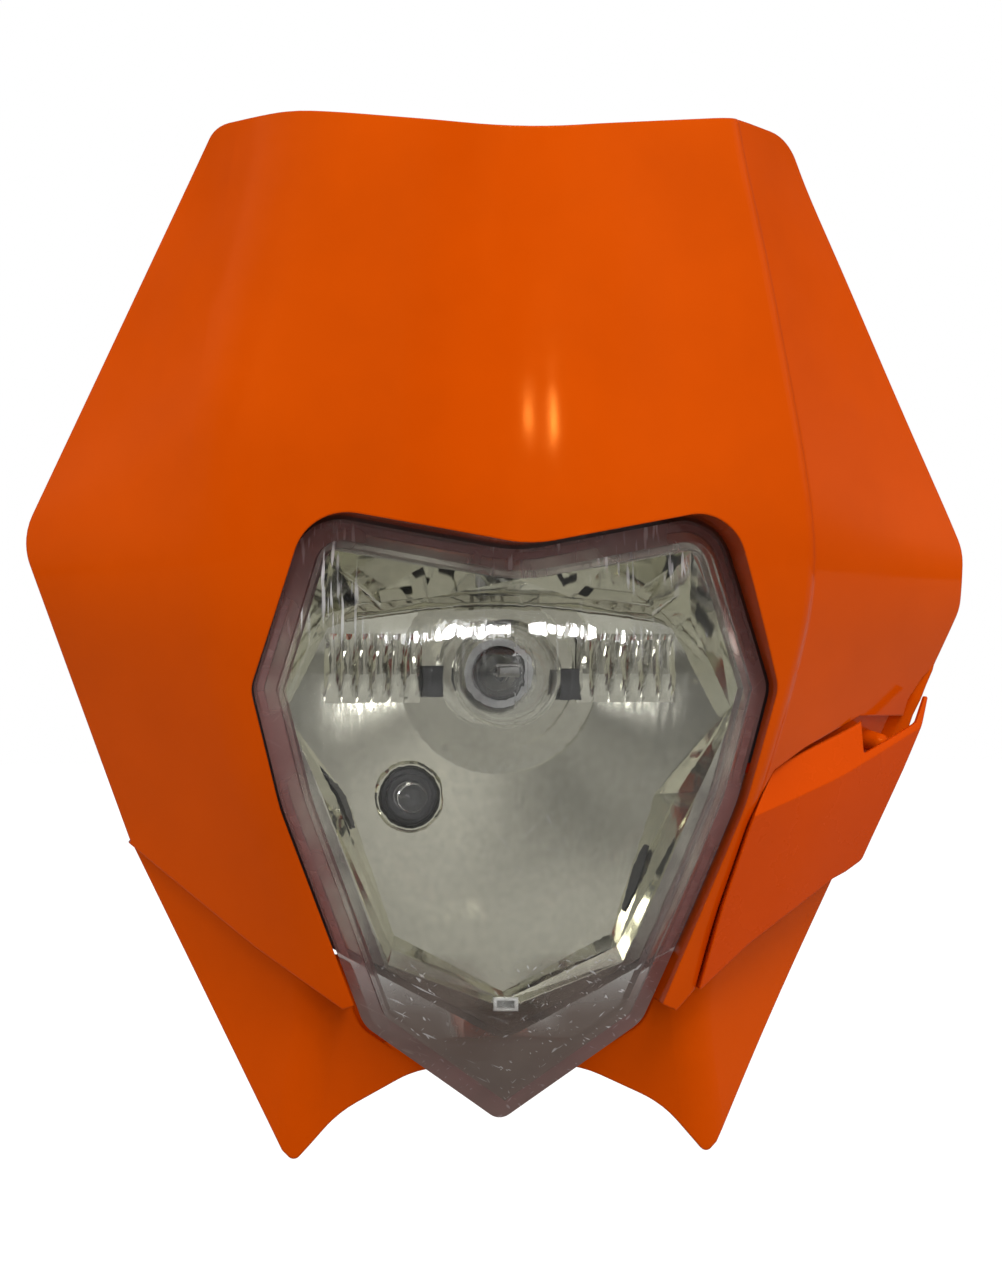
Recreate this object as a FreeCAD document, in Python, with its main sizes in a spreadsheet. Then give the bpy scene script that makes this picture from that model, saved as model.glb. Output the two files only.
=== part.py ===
import FreeCAD, Part
import math
import os
import Sketcher
from FreeCAD import Placement, Rotation, Vector

# Headlight mask of an off-road motorcycle, with its tilting lamp.
# X is to the viewer's right, Y goes back towards the forks, Z is up.
# The forms are drawn from the foot tips, with "reach" meaning millimetres towards the viewer,
# and the finished pieces are then set on the tongues that plug into the mudguard.

doc = FreeCAD.newDocument("headlight_mask")
sheet = doc.addObject("Spreadsheet::Sheet", "sizes")

SIZES = [
    # Walls and gaps of the moulded shell
    ("shell_wall", 3.0),
    ("foot_wall", 2.8),
    ("step_wall", 2.0),
    ("return_wall", 1.4),
    ("return_high", 1.4),
    ("return_low", 8.0),
    ("return_clear", 3.0),
    ("opening_gap", 1.2),
    ("soft_crease_radius", 70.0),
    ("sharp_crease_radius", 5.0),
    ("valley_radius", 2.5),
    ("valley_drop", 2.6),
    ("nose_radius", 110.0),
    # Cross-member behind the chin, its tab and the tongues
    ("bridge_top", 32.5),
    ("chin_gap", 3.9),
    ("tongue_height", 26.5),
    ("tongue_thick", 3.2),
    ("tongue_width", 10.0),
    ("tongue_root", 21.0),
    ("tongue_length", 25.0),
    ("tongue_offset", 21.0),
    # Rear bosses at the top
    ("upper_boss_offset", 52.0),
    ("upper_boss_height", 276.0),
    ("upper_boss_radius", 6.5),
    ("upper_boss_front", 45.0),
    ("upper_boss_length", 28.0),
    ("insert_radius", 4.0),
    ("insert_bore", 2.6),
    ("insert_length", 9.0),
    # Lamp swivel; the clamp gap keeps the lamp off the shell beside it
    ("clamp_gap", 0.3),
    ("pivot_height", 145.0),
    ("ear_inner", 84.6),
    ("ear_thick", 3.4),
    ("ear_half_height", 12.0),
    ("bush_outer", 6.0),
    ("shoulder_radius", 4.0),
    ("running_gap", 0.06),
    ("pivot_thread_radius", 2.2),
    ("pivot_head_radius", 6.0),
    ("pivot_head_thick", 3.0),
    ("pivot_boss_radius", 6.5),
    ("pivot_boss_start", 70.0),
    # Beam adjuster, measured down from the swivel along a line that leans back
    ("adjuster_lean", 16.5),
    ("adjuster_drop", 113.0),
    ("tab_thick", 3.0),
    ("tab_half_width", 11.0),
    ("tab_half_length", 12.6),
    ("slot_half_width", 2.8),
    ("slot_half_length", 9.0),
    ("adjuster_thread_radius", 2.4),
    ("adjuster_head_radius", 4.6),
    ("adjuster_head_thick", 3.2),
    ("washer_radius", 6.0),
    ("washer_thick", 1.0),
    # Lens
    ("lens_wall", 2.4),
    ("lens_proud", 9.0),
    ("lens_rim", 6.4),
    # Seal, housing and reflector
    ("seal_thick", 1.0),
    ("housing_wall", 2.2),
    ("housing_inset", 1.0),
    ("housing_depth", 25.6),
    ("housing_flange", 2.6),
    ("low_flange", 0.8),
    ("flange_break", 118.0),
    ("flange_thick", 2.0),
    ("reflector_gap", 0.25),
    ("reflector_wall", 1.6),
    ("reflector_skirt", 9.0),
    ("neck_radius", 31.0),
    ("neck_length", 8.0),
    ("housing_back", -30.0),
    # Bulb
    ("bulb_reach", 8.6),
    ("globe_radius", 16.5),
    ("cap_radius", 10.0),
    ("cap_length", 17.0),
    ("carrier_radius", 18.0),
    # Position lamp
    ("side_lamp_x", -28.0),
    ("side_lamp_height", 107.5),
    ("side_lamp_radius", 8.6),
    ("side_boss_wall", 1.6),
    ("side_boss_end", 10.0),
    # Hose cover
    ("cover_wall", 2.2),
    ("cover_gap", 0.35),
    ("peg_radius", 3.3),
]
for row, (name, value) in enumerate(SIZES, start=1):
    sheet.set(f"A{row}", name)
    sheet.set(f"B{row}", str(value))
    sheet.setAlias(f"B{row}", name)
doc.recompute()


def size(name):
    return float(sheet.get(name))


def at(x, reach, height):
    """A point from its side place, its reach towards the viewer and its height."""
    return Vector(x, -reach, height)


# Document helpers

def feature(name, shape):
    thing = doc.addObject("Part::Feature", name)
    thing.Shape = shape
    return thing


def fuse(name, *things):
    whole = doc.addObject("Part::MultiFuse", name)
    whole.Shapes = list(things)
    doc.recompute()
    return whole


def cut(name, base, *tools):
    result = base
    for number, tool in enumerate(tools, start=1):
        step = doc.addObject("Part::Cut", name if number == len(tools) else f"{name}_{number}")
        step.Base = result
        step.Tool = tool
        result = step
    doc.recompute()
    return result


def common(name, first, *others):
    result = first
    for number, other in enumerate(others, start=1):
        step = doc.addObject("Part::Common", name if number == len(others) else f"{name}_{number}")
        step.Base = result
        step.Tool = other
        result = step
    doc.recompute()
    return result


def cylinder(name, radius, length, place):
    round_bar = doc.addObject("Part::Cylinder", name)
    round_bar.setExpression("Radius", radius)
    round_bar.setExpression("Height", length)
    round_bar.Placement = place
    doc.recompute()
    return round_bar


def block(name, low, high, place=None):
    bar = doc.addObject("Part::Box", name)
    bar.Length, bar.Width, bar.Height = high[0] - low[0], high[1] - low[1], high[2] - low[2]
    bar.Placement = (place or Placement()) * Placement(Vector(*low), Rotation())
    doc.recompute()
    return bar


NODES = []


def node(name, thing):
    """Give a finished piece the name of its node."""
    thing.Label = name
    NODES.append(thing)
    return thing


# Outlines in the front view

def rounded_outline(corners):
    """A closed wire through corners of (x, height, radius), each rounded."""
    count = len(corners)
    edges = []
    starts = []
    for index, (x, height, radius) in enumerate(corners):
        here = Vector(x, 0, height)
        back = Vector(corners[index - 1][0], 0, corners[index - 1][1]) - here
        ahead = Vector(corners[(index + 1) % count][0], 0, corners[(index + 1) % count][1]) - here
        starts.append(corner_arc(here, back, ahead, radius))
    for index, (enter, middle, leave) in enumerate(starts):
        if (enter - leave).Length > 1e-6:
            edges.append(Part.Arc(enter, middle, leave).toShape())
        following = starts[(index + 1) % count][0]
        if (leave - following).Length > 1e-6:
            edges.append(Part.LineSegment(leave, following).toShape())
    return Part.Wire(edges)


def corner_arc(here, back, ahead, radius):
    """Where an arc of this radius meets the two sides of a corner, and its middle."""
    back = Vector(back).normalize()
    ahead = Vector(ahead).normalize()
    half = back.getAngle(ahead) / 2
    if radius <= 0 or half > math.pi / 2 - 1e-4:
        return here, here, here
    run = radius / math.tan(half)
    centre = here + (back + ahead).normalize() * (radius / math.sin(half))
    middle = centre + (here - centre).normalize() * radius
    return here + back * run, middle, here + ahead * run


def mirrored(half):
    """A whole outline from its right half, whose first and last corners lie on the middle line."""
    other = [(-x, height, radius) for x, height, radius in reversed(half) if abs(x) > 1e-6]
    return half + other


DEEP = 140.0


def prism(outline):
    """The outline pushed right through the part, front to back."""
    face = Part.Face(outline)
    face.translate(Vector(0, -DEEP, 0))
    return face.extrude(Vector(0, 2 * DEEP, 0))


def grown(outline, distance):
    return outline.makeOffset2D(distance, 0, False, False, False)


# Forms lofted up the height of the mask

def filleted_path(points):
    """Edges through (x, reach, radius) points at one height, with an arc at each inner one."""
    spots = [Vector(x, -reach, 0) for x, reach, radius in points]
    edges = []
    last = spots[0]
    for index in range(1, len(points) - 1):
        enter, middle, leave = corner_arc(
            spots[index], spots[index - 1] - spots[index], spots[index + 1] - spots[index], points[index][2])
        edges.append(Part.LineSegment(last, enter).toShape())
        edges.append(Part.Arc(enter, middle, leave).toShape())
        last = leave
    edges.append(Part.LineSegment(last, spots[-1]).toShape())
    return edges


def form_behind(sections):
    """The solid behind a skin, from (height, points) sections, closed by a flat back."""
    wires = []
    for height, points in sections:
        edges = filleted_path(points)
        left = Vector(points[0][0], -points[0][1], 0)
        right = Vector(points[-1][0], -points[-1][1], 0)
        far_right = Vector(right.x, DEEP, 0)
        far_left = Vector(left.x, DEEP, 0)
        edges.append(Part.LineSegment(right, far_right).toShape())
        edges.append(Part.LineSegment(far_right, far_left).toShape())
        edges.append(Part.LineSegment(far_left, left).toShape())
        wire = Part.Wire(edges)
        wire.translate(Vector(0, 0, height))
        wires.append(wire)
    return Part.makeLoft(wires, True, False)


def set_back(shape, distance):
    moved = shape.copy()
    moved.translate(Vector(0, distance, 0))
    return moved


# Stations of the outer skin: height, reach of the nose line, crease place and reach,
# wing edge place and reach
SKIN = [
    (332.0, 41.0, 63.0, 26.5, 80.0, 6.0),
    (305.0, 48.0, 67.5, 29.5, 90.0, 2.0),
    (275.0, 55.0, 73.5, 32.0, 104.0, -3.0),
    (240.0, 61.5, 80.0, 34.5, 121.0, -7.0),
    (205.0, 67.0, 86.0, 36.0, 138.0, -10.0),
    (175.0, 70.0, 88.5, 35.0, 147.0, -11.0),
    (145.0, 69.0, 83.5, 32.5, 135.0, -11.0),
    (115.0, 63.0, 75.5, 29.0, 121.0, -11.0),
    (85.0, 54.0, 66.0, 23.5, 109.5, -11.0),
    (60.0, 44.0, 59.0, 17.5, 98.5, -10.0),
    (33.0, 32.0, 51.0, 10.5, 85.0, -9.0),
]
# Stations of the recessed foot: height, edge place and reach, peak place and reach, middle reach
FOOT = [
    (165.0, 146.0, -17.0, 88.0, 27.0, 18.0),
    (130.0, 129.0, -17.0, 79.5, 24.0, 12.0),
    (100.0, 117.0, -17.0, 70.5, 19.5, 3.0),
    (75.0, 107.0, -16.5, 63.0, 14.5, -8.0),
    (50.0, 95.0, -14.5, 58.0, 8.5, -16.0),
    (25.0, 82.0, -10.0, 60.0, 4.0, -20.0),
    (0.0, 69.5, -4.0, 63.0, 0.0, -20.0),
    (-15.0, 65.0, -2.0, 61.5, -2.0, -20.0),
]
# Stations of the lens skin: height, reach on the middle line, reach at the side
LENS = [
    (205.0, 33.0, 19.0),
    (175.0, 34.5, 21.5),
    (140.0, 35.0, 23.0),
    (110.0, 31.0, 19.5),
    (80.0, 23.5, 12.5),
    (50.0, 12.5, 3.0),
    (20.0, -1.0, -9.0),
    (-5.0, -11.0, -18.0),
]
LENS_SIDE = 80.0
OVERRUN = 0.25


def beyond(inner, outer):
    """A point past the outer one on the same line."""
    return tuple(o + (o - i) * OVERRUN for i, o in zip(inner, outer))


def skin_sections():
    sections = []
    for height, nose, crease_x, crease, edge_x, edge in SKIN:
        drop = size("valley_drop")
        valley = (crease_x + drop * 0.55, crease - drop)
        left_end = beyond((-crease_x, crease), (-edge_x, edge))
        right_end = beyond(valley, (edge_x, edge))
        sections.append((height, [
            left_end + (0,),
            (-crease_x, crease, size("soft_crease_radius")),
            (0, nose, size("nose_radius")),
            (crease_x, crease, size("sharp_crease_radius")),
            valley + (size("valley_radius"),),
            right_end + (0,),
        ]))
    return sections


def foot_sections():
    sections = []
    for height, edge_x, edge, peak_x, peak, middle in FOOT:
        right_end = beyond((peak_x, peak), (edge_x, edge))
        sections.append((height, [
            (-right_end[0], right_end[1], 0),
            (-peak_x, peak, 14.0),
            (0, middle, 40.0),
            (peak_x, peak, 14.0),
            right_end + (0,),
        ]))
    return sections


def lens_sections(forward):
    return [(height, [
        (-LENS_SIDE, side + forward, 0),
        (0, middle + forward, 12.0),
        (LENS_SIDE, side + forward, 0),
    ]) for height, middle, side in LENS]


skin_form = form_behind(skin_sections())
foot_form = form_behind(foot_sections())
lens_form = form_behind(lens_sections(0.0))

# The lens outline, from which the opening, seal, housing and reflector outlines follow
lens_outline = rounded_outline(mirrored([
    (0, 7.5, 5.0),
    (42.5, 38.5, 10.0),
    (68.5, 106.0, 60.0),
    (77.3, 141.0, 9.0),
    (61.4, 193.0, 14.0),
    (0, 181.3, 40.0),
]))
opening_outline = grown(lens_outline, size("opening_gap"))

# Right and left sides of the upper layer differ: the hose cover fills the right cheek
upper_outline = rounded_outline([
    (0, 304.4, 160.0),
    (66.0, 311.5, 60.0),
    (88.2, 309.3, 13.0),
    (147.6, 183.0, 16.0),
    (146.8, 165.0, 14.0),
    (138.2, 146.5, 1.0),
    (134.2, 143.2, 1.0),
    (129.4, 136.5, 1.0),
    (128.2, 131.4, 1.0),
    (110.6, 131.8, 1.0),
    (90.0, 122.5, 2.0),
    (79.0, 116.0, 2.0),
    (70.8, 101.0, 40.0),
    (63.0, 75.0, 0),
    (56.8, 49.5, 4.0),
    (51.0, 43.0, 3.5),
    (38.0, 50.0, 0),
    (0, 120.0, 0),
    (-38.0, 50.0, 0),
    (-50.0, 45.0, 3.0),
    (-75.5, 63.0, 60.0),
    (-112.5, 94.0, 2.0),
    (-145.5, 185.5, 20.0),
    (-87.5, 309.5, 7.0),
    (-66.0, 311.5, 60.0),
])
foot_outline = rounded_outline([
    (0, 25.6, 10.0),
    (27.0, 23.0, 30.0),
    (50.0, 12.6, 34.0),
    (63.5, -3.0, 2.2),
    (67.0, 0.5, 1.5),
    (112.0, 92.0, 0),
    (117.0, 103.0, 0),
    (131.5, 141.0, 4.0),
    (120.0, 150.0, 4.0),
    (88.0, 136.0, 4.0),
    (74.0, 116.0, 4.0),
    (62.0, 90.0, 4.0),
    (50.0, 56.0, 4.0),
    (38.0, 44.0, 6.0),
    (0, 120.0, 0),
    (-38.0, 44.0, 6.0),
    (-50.0, 56.0, 8.0),
    (-72.0, 72.0, 20.0),
    (-110.0, 99.0, 2.0),
    (-112.3, 94.0, 0),
    (-67.0, 0.5, 1.5),
    (-63.5, -3.0, 2.2),
    (-50.0, 11.6, 34.0),
    (-27.0, 22.6, 30.0),
])
bridge_zone = rounded_outline([
    (-90.0, -30.0, 0), (90.0, -30.0, 0), (90.0, size("bridge_top"), 0), (-90.0, size("bridge_top"), 0)])

# Moulded shell
skin = feature("skin", skin_form)
skin_inside = feature("skin_inside", set_back(skin_form, size("shell_wall")))
opening = feature("opening", prism(opening_outline))
foot_opening = cut("foot_opening", feature("opening_again", prism(opening_outline)),
                   feature("bridge_zone", prism(bridge_zone)))
upper_skin = cut("upper_skin", common("upper_layer", skin, feature("upper_prism", prism(upper_outline))),
                 skin_inside, opening)
foot_skin = cut("foot_skin", common("foot_layer", feature("foot", foot_form),
                                    feature("foot_prism", prism(foot_outline))),
                feature("foot_inside", set_back(foot_form, size("foot_wall"))), foot_opening,
                cut("chin_room", feature("chin_prism", prism(opening_outline)),
                    feature("chin_back", set_back(lens_form, size("lens_wall") + size("chin_gap")))))

# Walls that join the two layers along the step, and the return round the opening
STEP_LEFT = [(-113.0, 93.5), (-75.5, 63.0), (-50.0, 45.0), (-45.5, 47.5)]
STEP_RIGHT = [(134.2, 143.2), (129.4, 136.5), (128.2, 131.4), (110.6, 131.8), (90.0, 122.5), (79.0, 116.0),
              (70.8, 101.0), (63.0, 75.0), (56.8, 49.5), (51.0, 43.0), (46.0, 47.5)]


def strip(points, width):
    """A band of this width beside a line of front-view points, to the left of its run."""
    line = [Vector(x, 0, height) for x, height in points]
    inner = []
    for index, here in enumerate(line):
        sides = []
        if index > 0:
            sides.append((here - line[index - 1]).normalize())
        if index < len(line) - 1:
            sides.append((line[index + 1] - here).normalize())
        normals = [Vector(-side.z, 0, side.x) for side in sides]
        middle = sum(normals, Vector()).normalize()
        inner.append(here + middle * (width / max(middle.dot(normals[0]), 0.35)))
    return Part.makePolygon(line + inner[::-1] + [line[0]])


band = feature("foot_back", set_back(foot_form, size("foot_wall")))
skin_band = feature("skin_again", skin_form)
walls = []
for name, points, width in (("step_left", STEP_LEFT, size("step_wall")), ("step_right", STEP_RIGHT, -size("step_wall"))):
    strip_prism = feature(f"{name}_band", prism(strip(points, width)))
    walls.append(cut(name, common(f"{name}_deep", skin_band, strip_prism), band, opening))

return_ring = cut("return_ring",
                  feature("return_outer", prism(grown(opening_outline, size("return_wall")))),
                  feature("return_hole", prism(opening_outline)))
return_block = common("return_block", feature("skin_front", skin_form), return_ring,
                      feature("upper_prism_again", prism(upper_outline)))
flange_way = common("flange_way", feature("return_back_high", set_back(lens_form, size("return_high"))),
                    block("above_break", (-DEEP, -DEEP, size("flange_break") - size("return_clear")),
                          (DEEP, DEEP, 2 * DEEP)))
return_band = cut("return_band", return_block, flange_way,
                  feature("return_back_low", set_back(lens_form, size("return_low"))))


# Swivel ears, upper bosses, cross-member tab and tongues of the shell
BACKWARDS = Rotation(Vector(1, 0, 0), -90)
SIDEWAYS = Rotation(Vector(0, 1, 0), 90)
pivot = Vector(0, 0, size("pivot_height"))
lean = Placement(Vector(), Rotation(Vector(1, 0, 0), size("adjuster_lean")), pivot)
under_skin = feature("under_skin", set_back(skin_form, 1.0))


def ear(side):
    """A plate that hangs from the inside of a wing, with the bore for the swivel bush."""
    low_x = side * size("ear_inner") if side > 0 else -size("ear_inner") - size("ear_thick")
    half = size("ear_half_height")
    name = "ear_right" if side > 0 else "ear_left"
    plate = block(f"{name}_plate", (low_x, -45, pivot.z - half), (low_x + size("ear_thick"), 10, pivot.z + half))
    trimmed = common(f"{name}_trimmed", plate, under_skin)
    bore = cylinder(f"{name}_bore", "sizes.bush_outer", "20", Placement(
        Vector(low_x - 8, 0, pivot.z), SIDEWAYS))
    return cut(name, trimmed, bore)


def upper_boss(side):
    place = Vector(side * size("upper_boss_offset"), -size("upper_boss_front"), size("upper_boss_height"))
    name = "boss_right" if side > 0 else "boss_left"
    post = cylinder(f"{name}_post", "sizes.upper_boss_radius", "sizes.upper_boss_length",
                    Placement(place, BACKWARDS))
    trimmed = common(f"{name}_trimmed", post, under_skin)
    hole = cylinder(f"{name}_hole", "sizes.insert_radius", "sizes.insert_length", Placement(
        place + Vector(0, size("upper_boss_length") - size("insert_length"), 0), BACKWARDS))
    return cut(name, trimmed, hole)


def slot_tool(name, half_length, half_width, low, high):
    """A slot's solid along Y, between two heights, in the lean frame."""
    parts = [block(f"{name}_middle", (-half_width, -half_length + half_width, low),
                   (half_width, half_length - half_width, high))]
    for index, end in enumerate((-1, 1)):
        parts.append(cylinder(f"{name}_end_{index}", "sizes.slot_half_width", str(high - low), Placement(
            Vector(0, end * (half_length - half_width), low), Rotation())))
    return fuse(name, *parts)


drop = size("adjuster_drop")
in_foot = feature("in_foot", set_back(foot_form, 1.0))
tab_plate = block("tab_plate", (-size("tab_half_width"), -size("tab_half_length") - 10, -drop - size("tab_thick")),
                  (size("tab_half_width"), size("tab_half_length"), -drop))
tab_slot = slot_tool("tab_slot", size("slot_half_length"), size("slot_half_width"),
                     -drop - size("tab_thick") - 1, -drop + 1)
tab_whole = cut("tab_whole", tab_plate, tab_slot)
tab_whole.Placement = Placement(pivot, lean.Rotation)
tab = common("tab", tab_whole, in_foot)


def tongue(side):
    """A flat tongue that leaves the back of the cross-member."""
    name = "tongue_right" if side > 0 else "tongue_left"
    middle = side * size("tongue_offset")
    bar = block(f"{name}_bar",
                (middle - size("tongue_width") / 2, 0, size("tongue_height") - size("tongue_thick") / 2),
                (middle + size("tongue_width") / 2, size("tongue_root") + size("tongue_length"),
                 size("tongue_height") + size("tongue_thick") / 2))
    return common(name, bar, in_foot)


PEG_FOOT = at(113.0, -9.2, 124.8)
PEG_WAY = Vector(0.63, -0.74, -0.22).normalize()
peg_bar = cylinder("peg_bar", "sizes.peg_radius", "8.5", Placement(PEG_FOOT, Rotation(Vector(0, 0, 1), PEG_WAY)))
peg_end = doc.addObject("Part::Sphere", "peg_end")
peg_end.setExpression("Radius", "sizes.peg_radius")
peg_end.Placement = Placement(PEG_FOOT + PEG_WAY * 8.5, Rotation())

shell = fuse("shell", upper_skin, foot_skin, walls[0], walls[1], return_band, ear(1), ear(-1),
             upper_boss(1), upper_boss(-1), tab, tongue(1), tongue(-1), peg_bar, peg_end)
node("mask_shell", shell)

# Hose cover of the right cheek: a plain cheek face folded back along its top
COVER = [
    (175.0, 91.0, 36.5, 154.0, -1.5),
    (145.0, 83.5, 33.0, 141.0, -3.5),
    (115.0, 76.3, 30.3, 129.0, -5.0),
    (90.0, 68.3, 26.0, 118.5, -7.0),
    (60.0, 59.5, 19.5, 103.0, -9.0),
    (30.0, 50.0, 11.0, 88.0, -9.0),
]
FOLD = (at(71.5, 29.2, 102.0), at(119.0, 4.3, 123.5), at(108.0, 6.9, 132.4))
cover_sections = []
for height, inner_x, inner, outer_x, outer in COVER:
    start = beyond((outer_x, outer), (inner_x, inner))
    end = beyond((inner_x, inner), (outer_x, outer))
    middle = ((inner_x + outer_x) / 2 + 0.6, (inner + outer) / 2 + 0.9)
    cover_sections.append((height, [start + (0,), middle + (240.0,), end + (0,)]))
cover_form = form_behind(cover_sections)

fold_way = (FOLD[1] - FOLD[0]).cross(FOLD[2] - FOLD[0]).normalize()
if fold_way.y > 0:
    fold_way = fold_way * -1
fold_turn = Rotation(Vector(0, 0, 1), fold_way)
fold_block = block("fold_block", (-300, -300, -300), (300, 300, 0), Placement(FOLD[0], fold_turn))
fold_inner = block("fold_inner", (-300, -300, -300), (300, 300, -size("cover_wall")), Placement(FOLD[0], fold_turn))

SLIT_SIDE = [(57.6, 48.9, 0.4), (63.7, 74.8, 0), (71.5, 101.0, 40.0), (79.2, 116.6, 1.0)]
cover_outline = rounded_outline(SLIT_SIDE + [
    (84.0, 124.0, 1.0), (88.5, 126.0, 1.0), (91.0, 124.4, 0.6), (110.4, 133.0, 0.5), (110.8, 120.2, 0.5),
    (119.0, 124.0, 2.0), (129.8, 129.4, 3.0), (133.0, 136.5, 3.0), (137.0, 145.0, 0.6),
    (132.2, 129.5, 8.0), (126.3, 115.5, 0), (116.0, 93.2, 0), (113.2, 86.8, 4.0), (107.5, 83.4, 3.0), (103.0, 81.5, 0),
    (74.0, 62.6, 0),
])
cover_hollow_outline = rounded_outline([
    (63.5, 56.5, 0.5), (66.1, 74.0, 0), (73.8, 100.0, 38.0), (84.5, 118.5, 1.0), (110.8, 130.5, 0),
    (110.8, 160.0, 0), (160.0, 160.0, 0), (160.0, 90.0, 0), (112.0, 88.0, 0), (101.0, 83.2, 0), (74.0, 65.4, 0),
])
cover_block = common("cover_block", feature("cover_form", cover_form), fold_block,
                     feature("cover_prism", prism(cover_outline)))
cover_hollow = common("cover_hollow", feature("cover_inside", set_back(cover_form, size("cover_wall"))),
                      fold_inner, feature("cover_hollow_prism", prism(cover_hollow_outline)))
shell_room = common("shell_room", feature("skin_room", set_back(skin_form, -size("cover_gap"))),
                    feature("upper_room", prism(grown(upper_outline, size("cover_gap")))))
cover = cut("cover", cover_block, feature("cover_back", set_back(cover_form, 7.0)), cover_hollow, shell_room)
node("hose_cover", cover)


# Turned pieces: a sheet-bound profile, turned about the piece's own axis

def profile_sketch(body, name, points):
    """A closed sketch whose corners are bound to the sheet by expressions."""
    sketch = body.newObject("Sketcher::SketchObject", name)
    plane = next(part for part in body.Origin.OriginFeatures if part.Role == "XZ_Plane")
    sketch.AttachmentSupport = [(plane, "")]
    sketch.MapMode = "FlatFace"
    places = [(evaluate(out), evaluate(along)) for out, along in points]
    for index, (out, along) in enumerate(places):
        next_out, next_along = places[(index + 1) % len(places)]
        sketch.addGeometry(Part.LineSegment(Vector(out, along, 0), Vector(next_out, next_along, 0)), False)
    for index in range(len(points)):
        sketch.addConstraint(Sketcher.Constraint("Coincident", index, 2, (index + 1) % len(points), 1))
    for index, texts in enumerate(points):
        for kind, text, value in zip(("DistanceX", "DistanceY"), texts, places[index]):
            number = sketch.addConstraint(Sketcher.Constraint(kind, -1, 1, index, 1, value))
            label = f"{kind[-1].lower()}{index}"
            sketch.renameConstraint(number, label)
            sketch.setExpression(f"Constraints.{label}", text)
    return sketch


def evaluate(text):
    """The value of an expression of sheet cells."""
    return float(sheet.evalExpression(text.replace("sizes.", "")))


def turned(name, points, place):
    """A body turned from (radius, distance along the axis) corners."""
    body = doc.addObject("PartDesign::Body", name)
    sketch = profile_sketch(body, f"{name}_profile", points)
    turn = body.newObject("PartDesign::Revolution", f"{name}_turn")
    turn.Profile = sketch
    turn.ReferenceAxis = (sketch, ["V_Axis"])
    turn.Angle = 360
    body.Placement = place
    doc.recompute()
    return body


# Upper brass inserts
inserts = []
for name, side in (("insert_left", -1), ("insert_right", 1)):
    inserts.append(turned(name, [
        ("sizes.insert_bore", "0"), ("sizes.insert_radius", "0"),
        ("sizes.insert_radius", "sizes.insert_length"), ("sizes.insert_bore", "sizes.insert_length")],
        Placement(Vector(side * size("upper_boss_offset"),
                         size("upper_boss_length") - size("upper_boss_front") - size("insert_length"),
                         size("upper_boss_height")), BACKWARDS)))
group = doc.addObject("Part::Compound", "insert_group")
group.Links = inserts
node("upper_inserts", group)

# Lens
lens_prism = feature("lens_prism", prism(lens_outline))
lens_back = feature("lens_back", set_back(lens_form, size("lens_wall")))
rim_plate = common("rim_plate", feature("lens_form", lens_form), lens_prism)
lens_block = common("lens_block", feature("lens_face", set_back(lens_form, -size("lens_proud"))),
                    feature("face_prism", prism(grown(lens_outline, -size("lens_rim")))))
lens_hollow = common("lens_hollow", feature("lens_inside", set_back(lens_form, size("lens_wall") - size("lens_proud"))),
                     feature("hollow_prism", prism(grown(lens_outline, -size("lens_rim") - size("lens_wall")))))
node("lens", cut("lens", fuse("lens_solid", rim_plate, lens_block), lens_back, lens_hollow))


def above_vee(middle, flat, rise):
    """The front-view zone above the V of the chin."""
    far = 100.0
    return rounded_outline([
        (-flat, middle, 0), (flat, middle, 0), (far, middle + (far - flat) * rise, 0),
        (far, 260.0, 0), (-far, 260.0, 0), (-far, middle + (far - flat) * rise, 0)])


CHIN_RISE = 0.547
housing_zone = feature("housing_zone", prism(above_vee(34.0, 0.5, CHIN_RISE)))
seal_front = size("lens_wall")
housing_front = seal_front + size("seal_thick")
wall = size("housing_wall")
inset = size("housing_inset")

seal_ring = cut("seal_ring", feature("seal_outer", prism(grown(lens_outline, -inset))),
                feature("seal_inner", prism(grown(lens_outline, -inset - wall))))
seal = cut("seal", common("seal_block", feature("seal_form", set_back(lens_form, seal_front)), seal_ring, housing_zone),
           feature("seal_back", set_back(lens_form, housing_front)))
node("lens_seal", seal)

# Lamp housing: a skirt that follows the lens rim, a domed back and the adjuster lug
DOME = [(0, 14.0), (74.0, 14.0), (73.0, 0.0), (62.0, -17.0), (47.0, -28.0),
        (38.0, size("housing_back")), (0, size("housing_back"))]


def dome(name, shrink, back_shift):
    points = [Vector(max(out - shrink, 0), -reach - back_shift, 0) for out, reach in DOME]
    face = Part.Face(Part.makePolygon(points + points[:1]))
    solid = face.revolve(Vector(0, 0, 0), Vector(0, 1, 0), 360)
    solid.translate(Vector(0, 0, size("pivot_height")))
    return feature(name, solid)


housing_prism = feature("housing_prism", prism(grown(lens_outline, -inset)))
housing_inner_prism = feature("housing_inner_prism", prism(grown(lens_outline, -inset - wall)))
housing_top = feature("housing_top", set_back(lens_form, housing_front))
skirt = cut("skirt", common("skirt_block", housing_top, housing_prism, housing_zone),
            feature("skirt_back", set_back(lens_form, housing_front + size("housing_depth"))))
dome_part = common("dome_part", dome("dome_outer", 0.0, 0.0), housing_top, housing_prism, housing_zone)
neck = cylinder("neck", "sizes.neck_radius", "sizes.neck_length + 4", Placement(
    Vector(0, -size("housing_back") - 4, size("pivot_height")), BACKWARDS))
pivot_bosses = [cylinder(f"pivot_boss_{name}", "sizes.pivot_boss_radius",
                         "sizes.ear_inner - sizes.pivot_boss_start - sizes.clamp_gap",
                         Placement(Vector(x, 0, pivot.z), SIDEWAYS))
                for name, x in (("right", size("pivot_boss_start")), ("left", size("clamp_gap") - size("ear_inner")))]
lug = block("lug", (-7, -5, -drop + size("clamp_gap")), (7, 6, -drop + 15))
arm = block("arm", (-5, -16, -drop + 13), (5, 4, -58))
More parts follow.
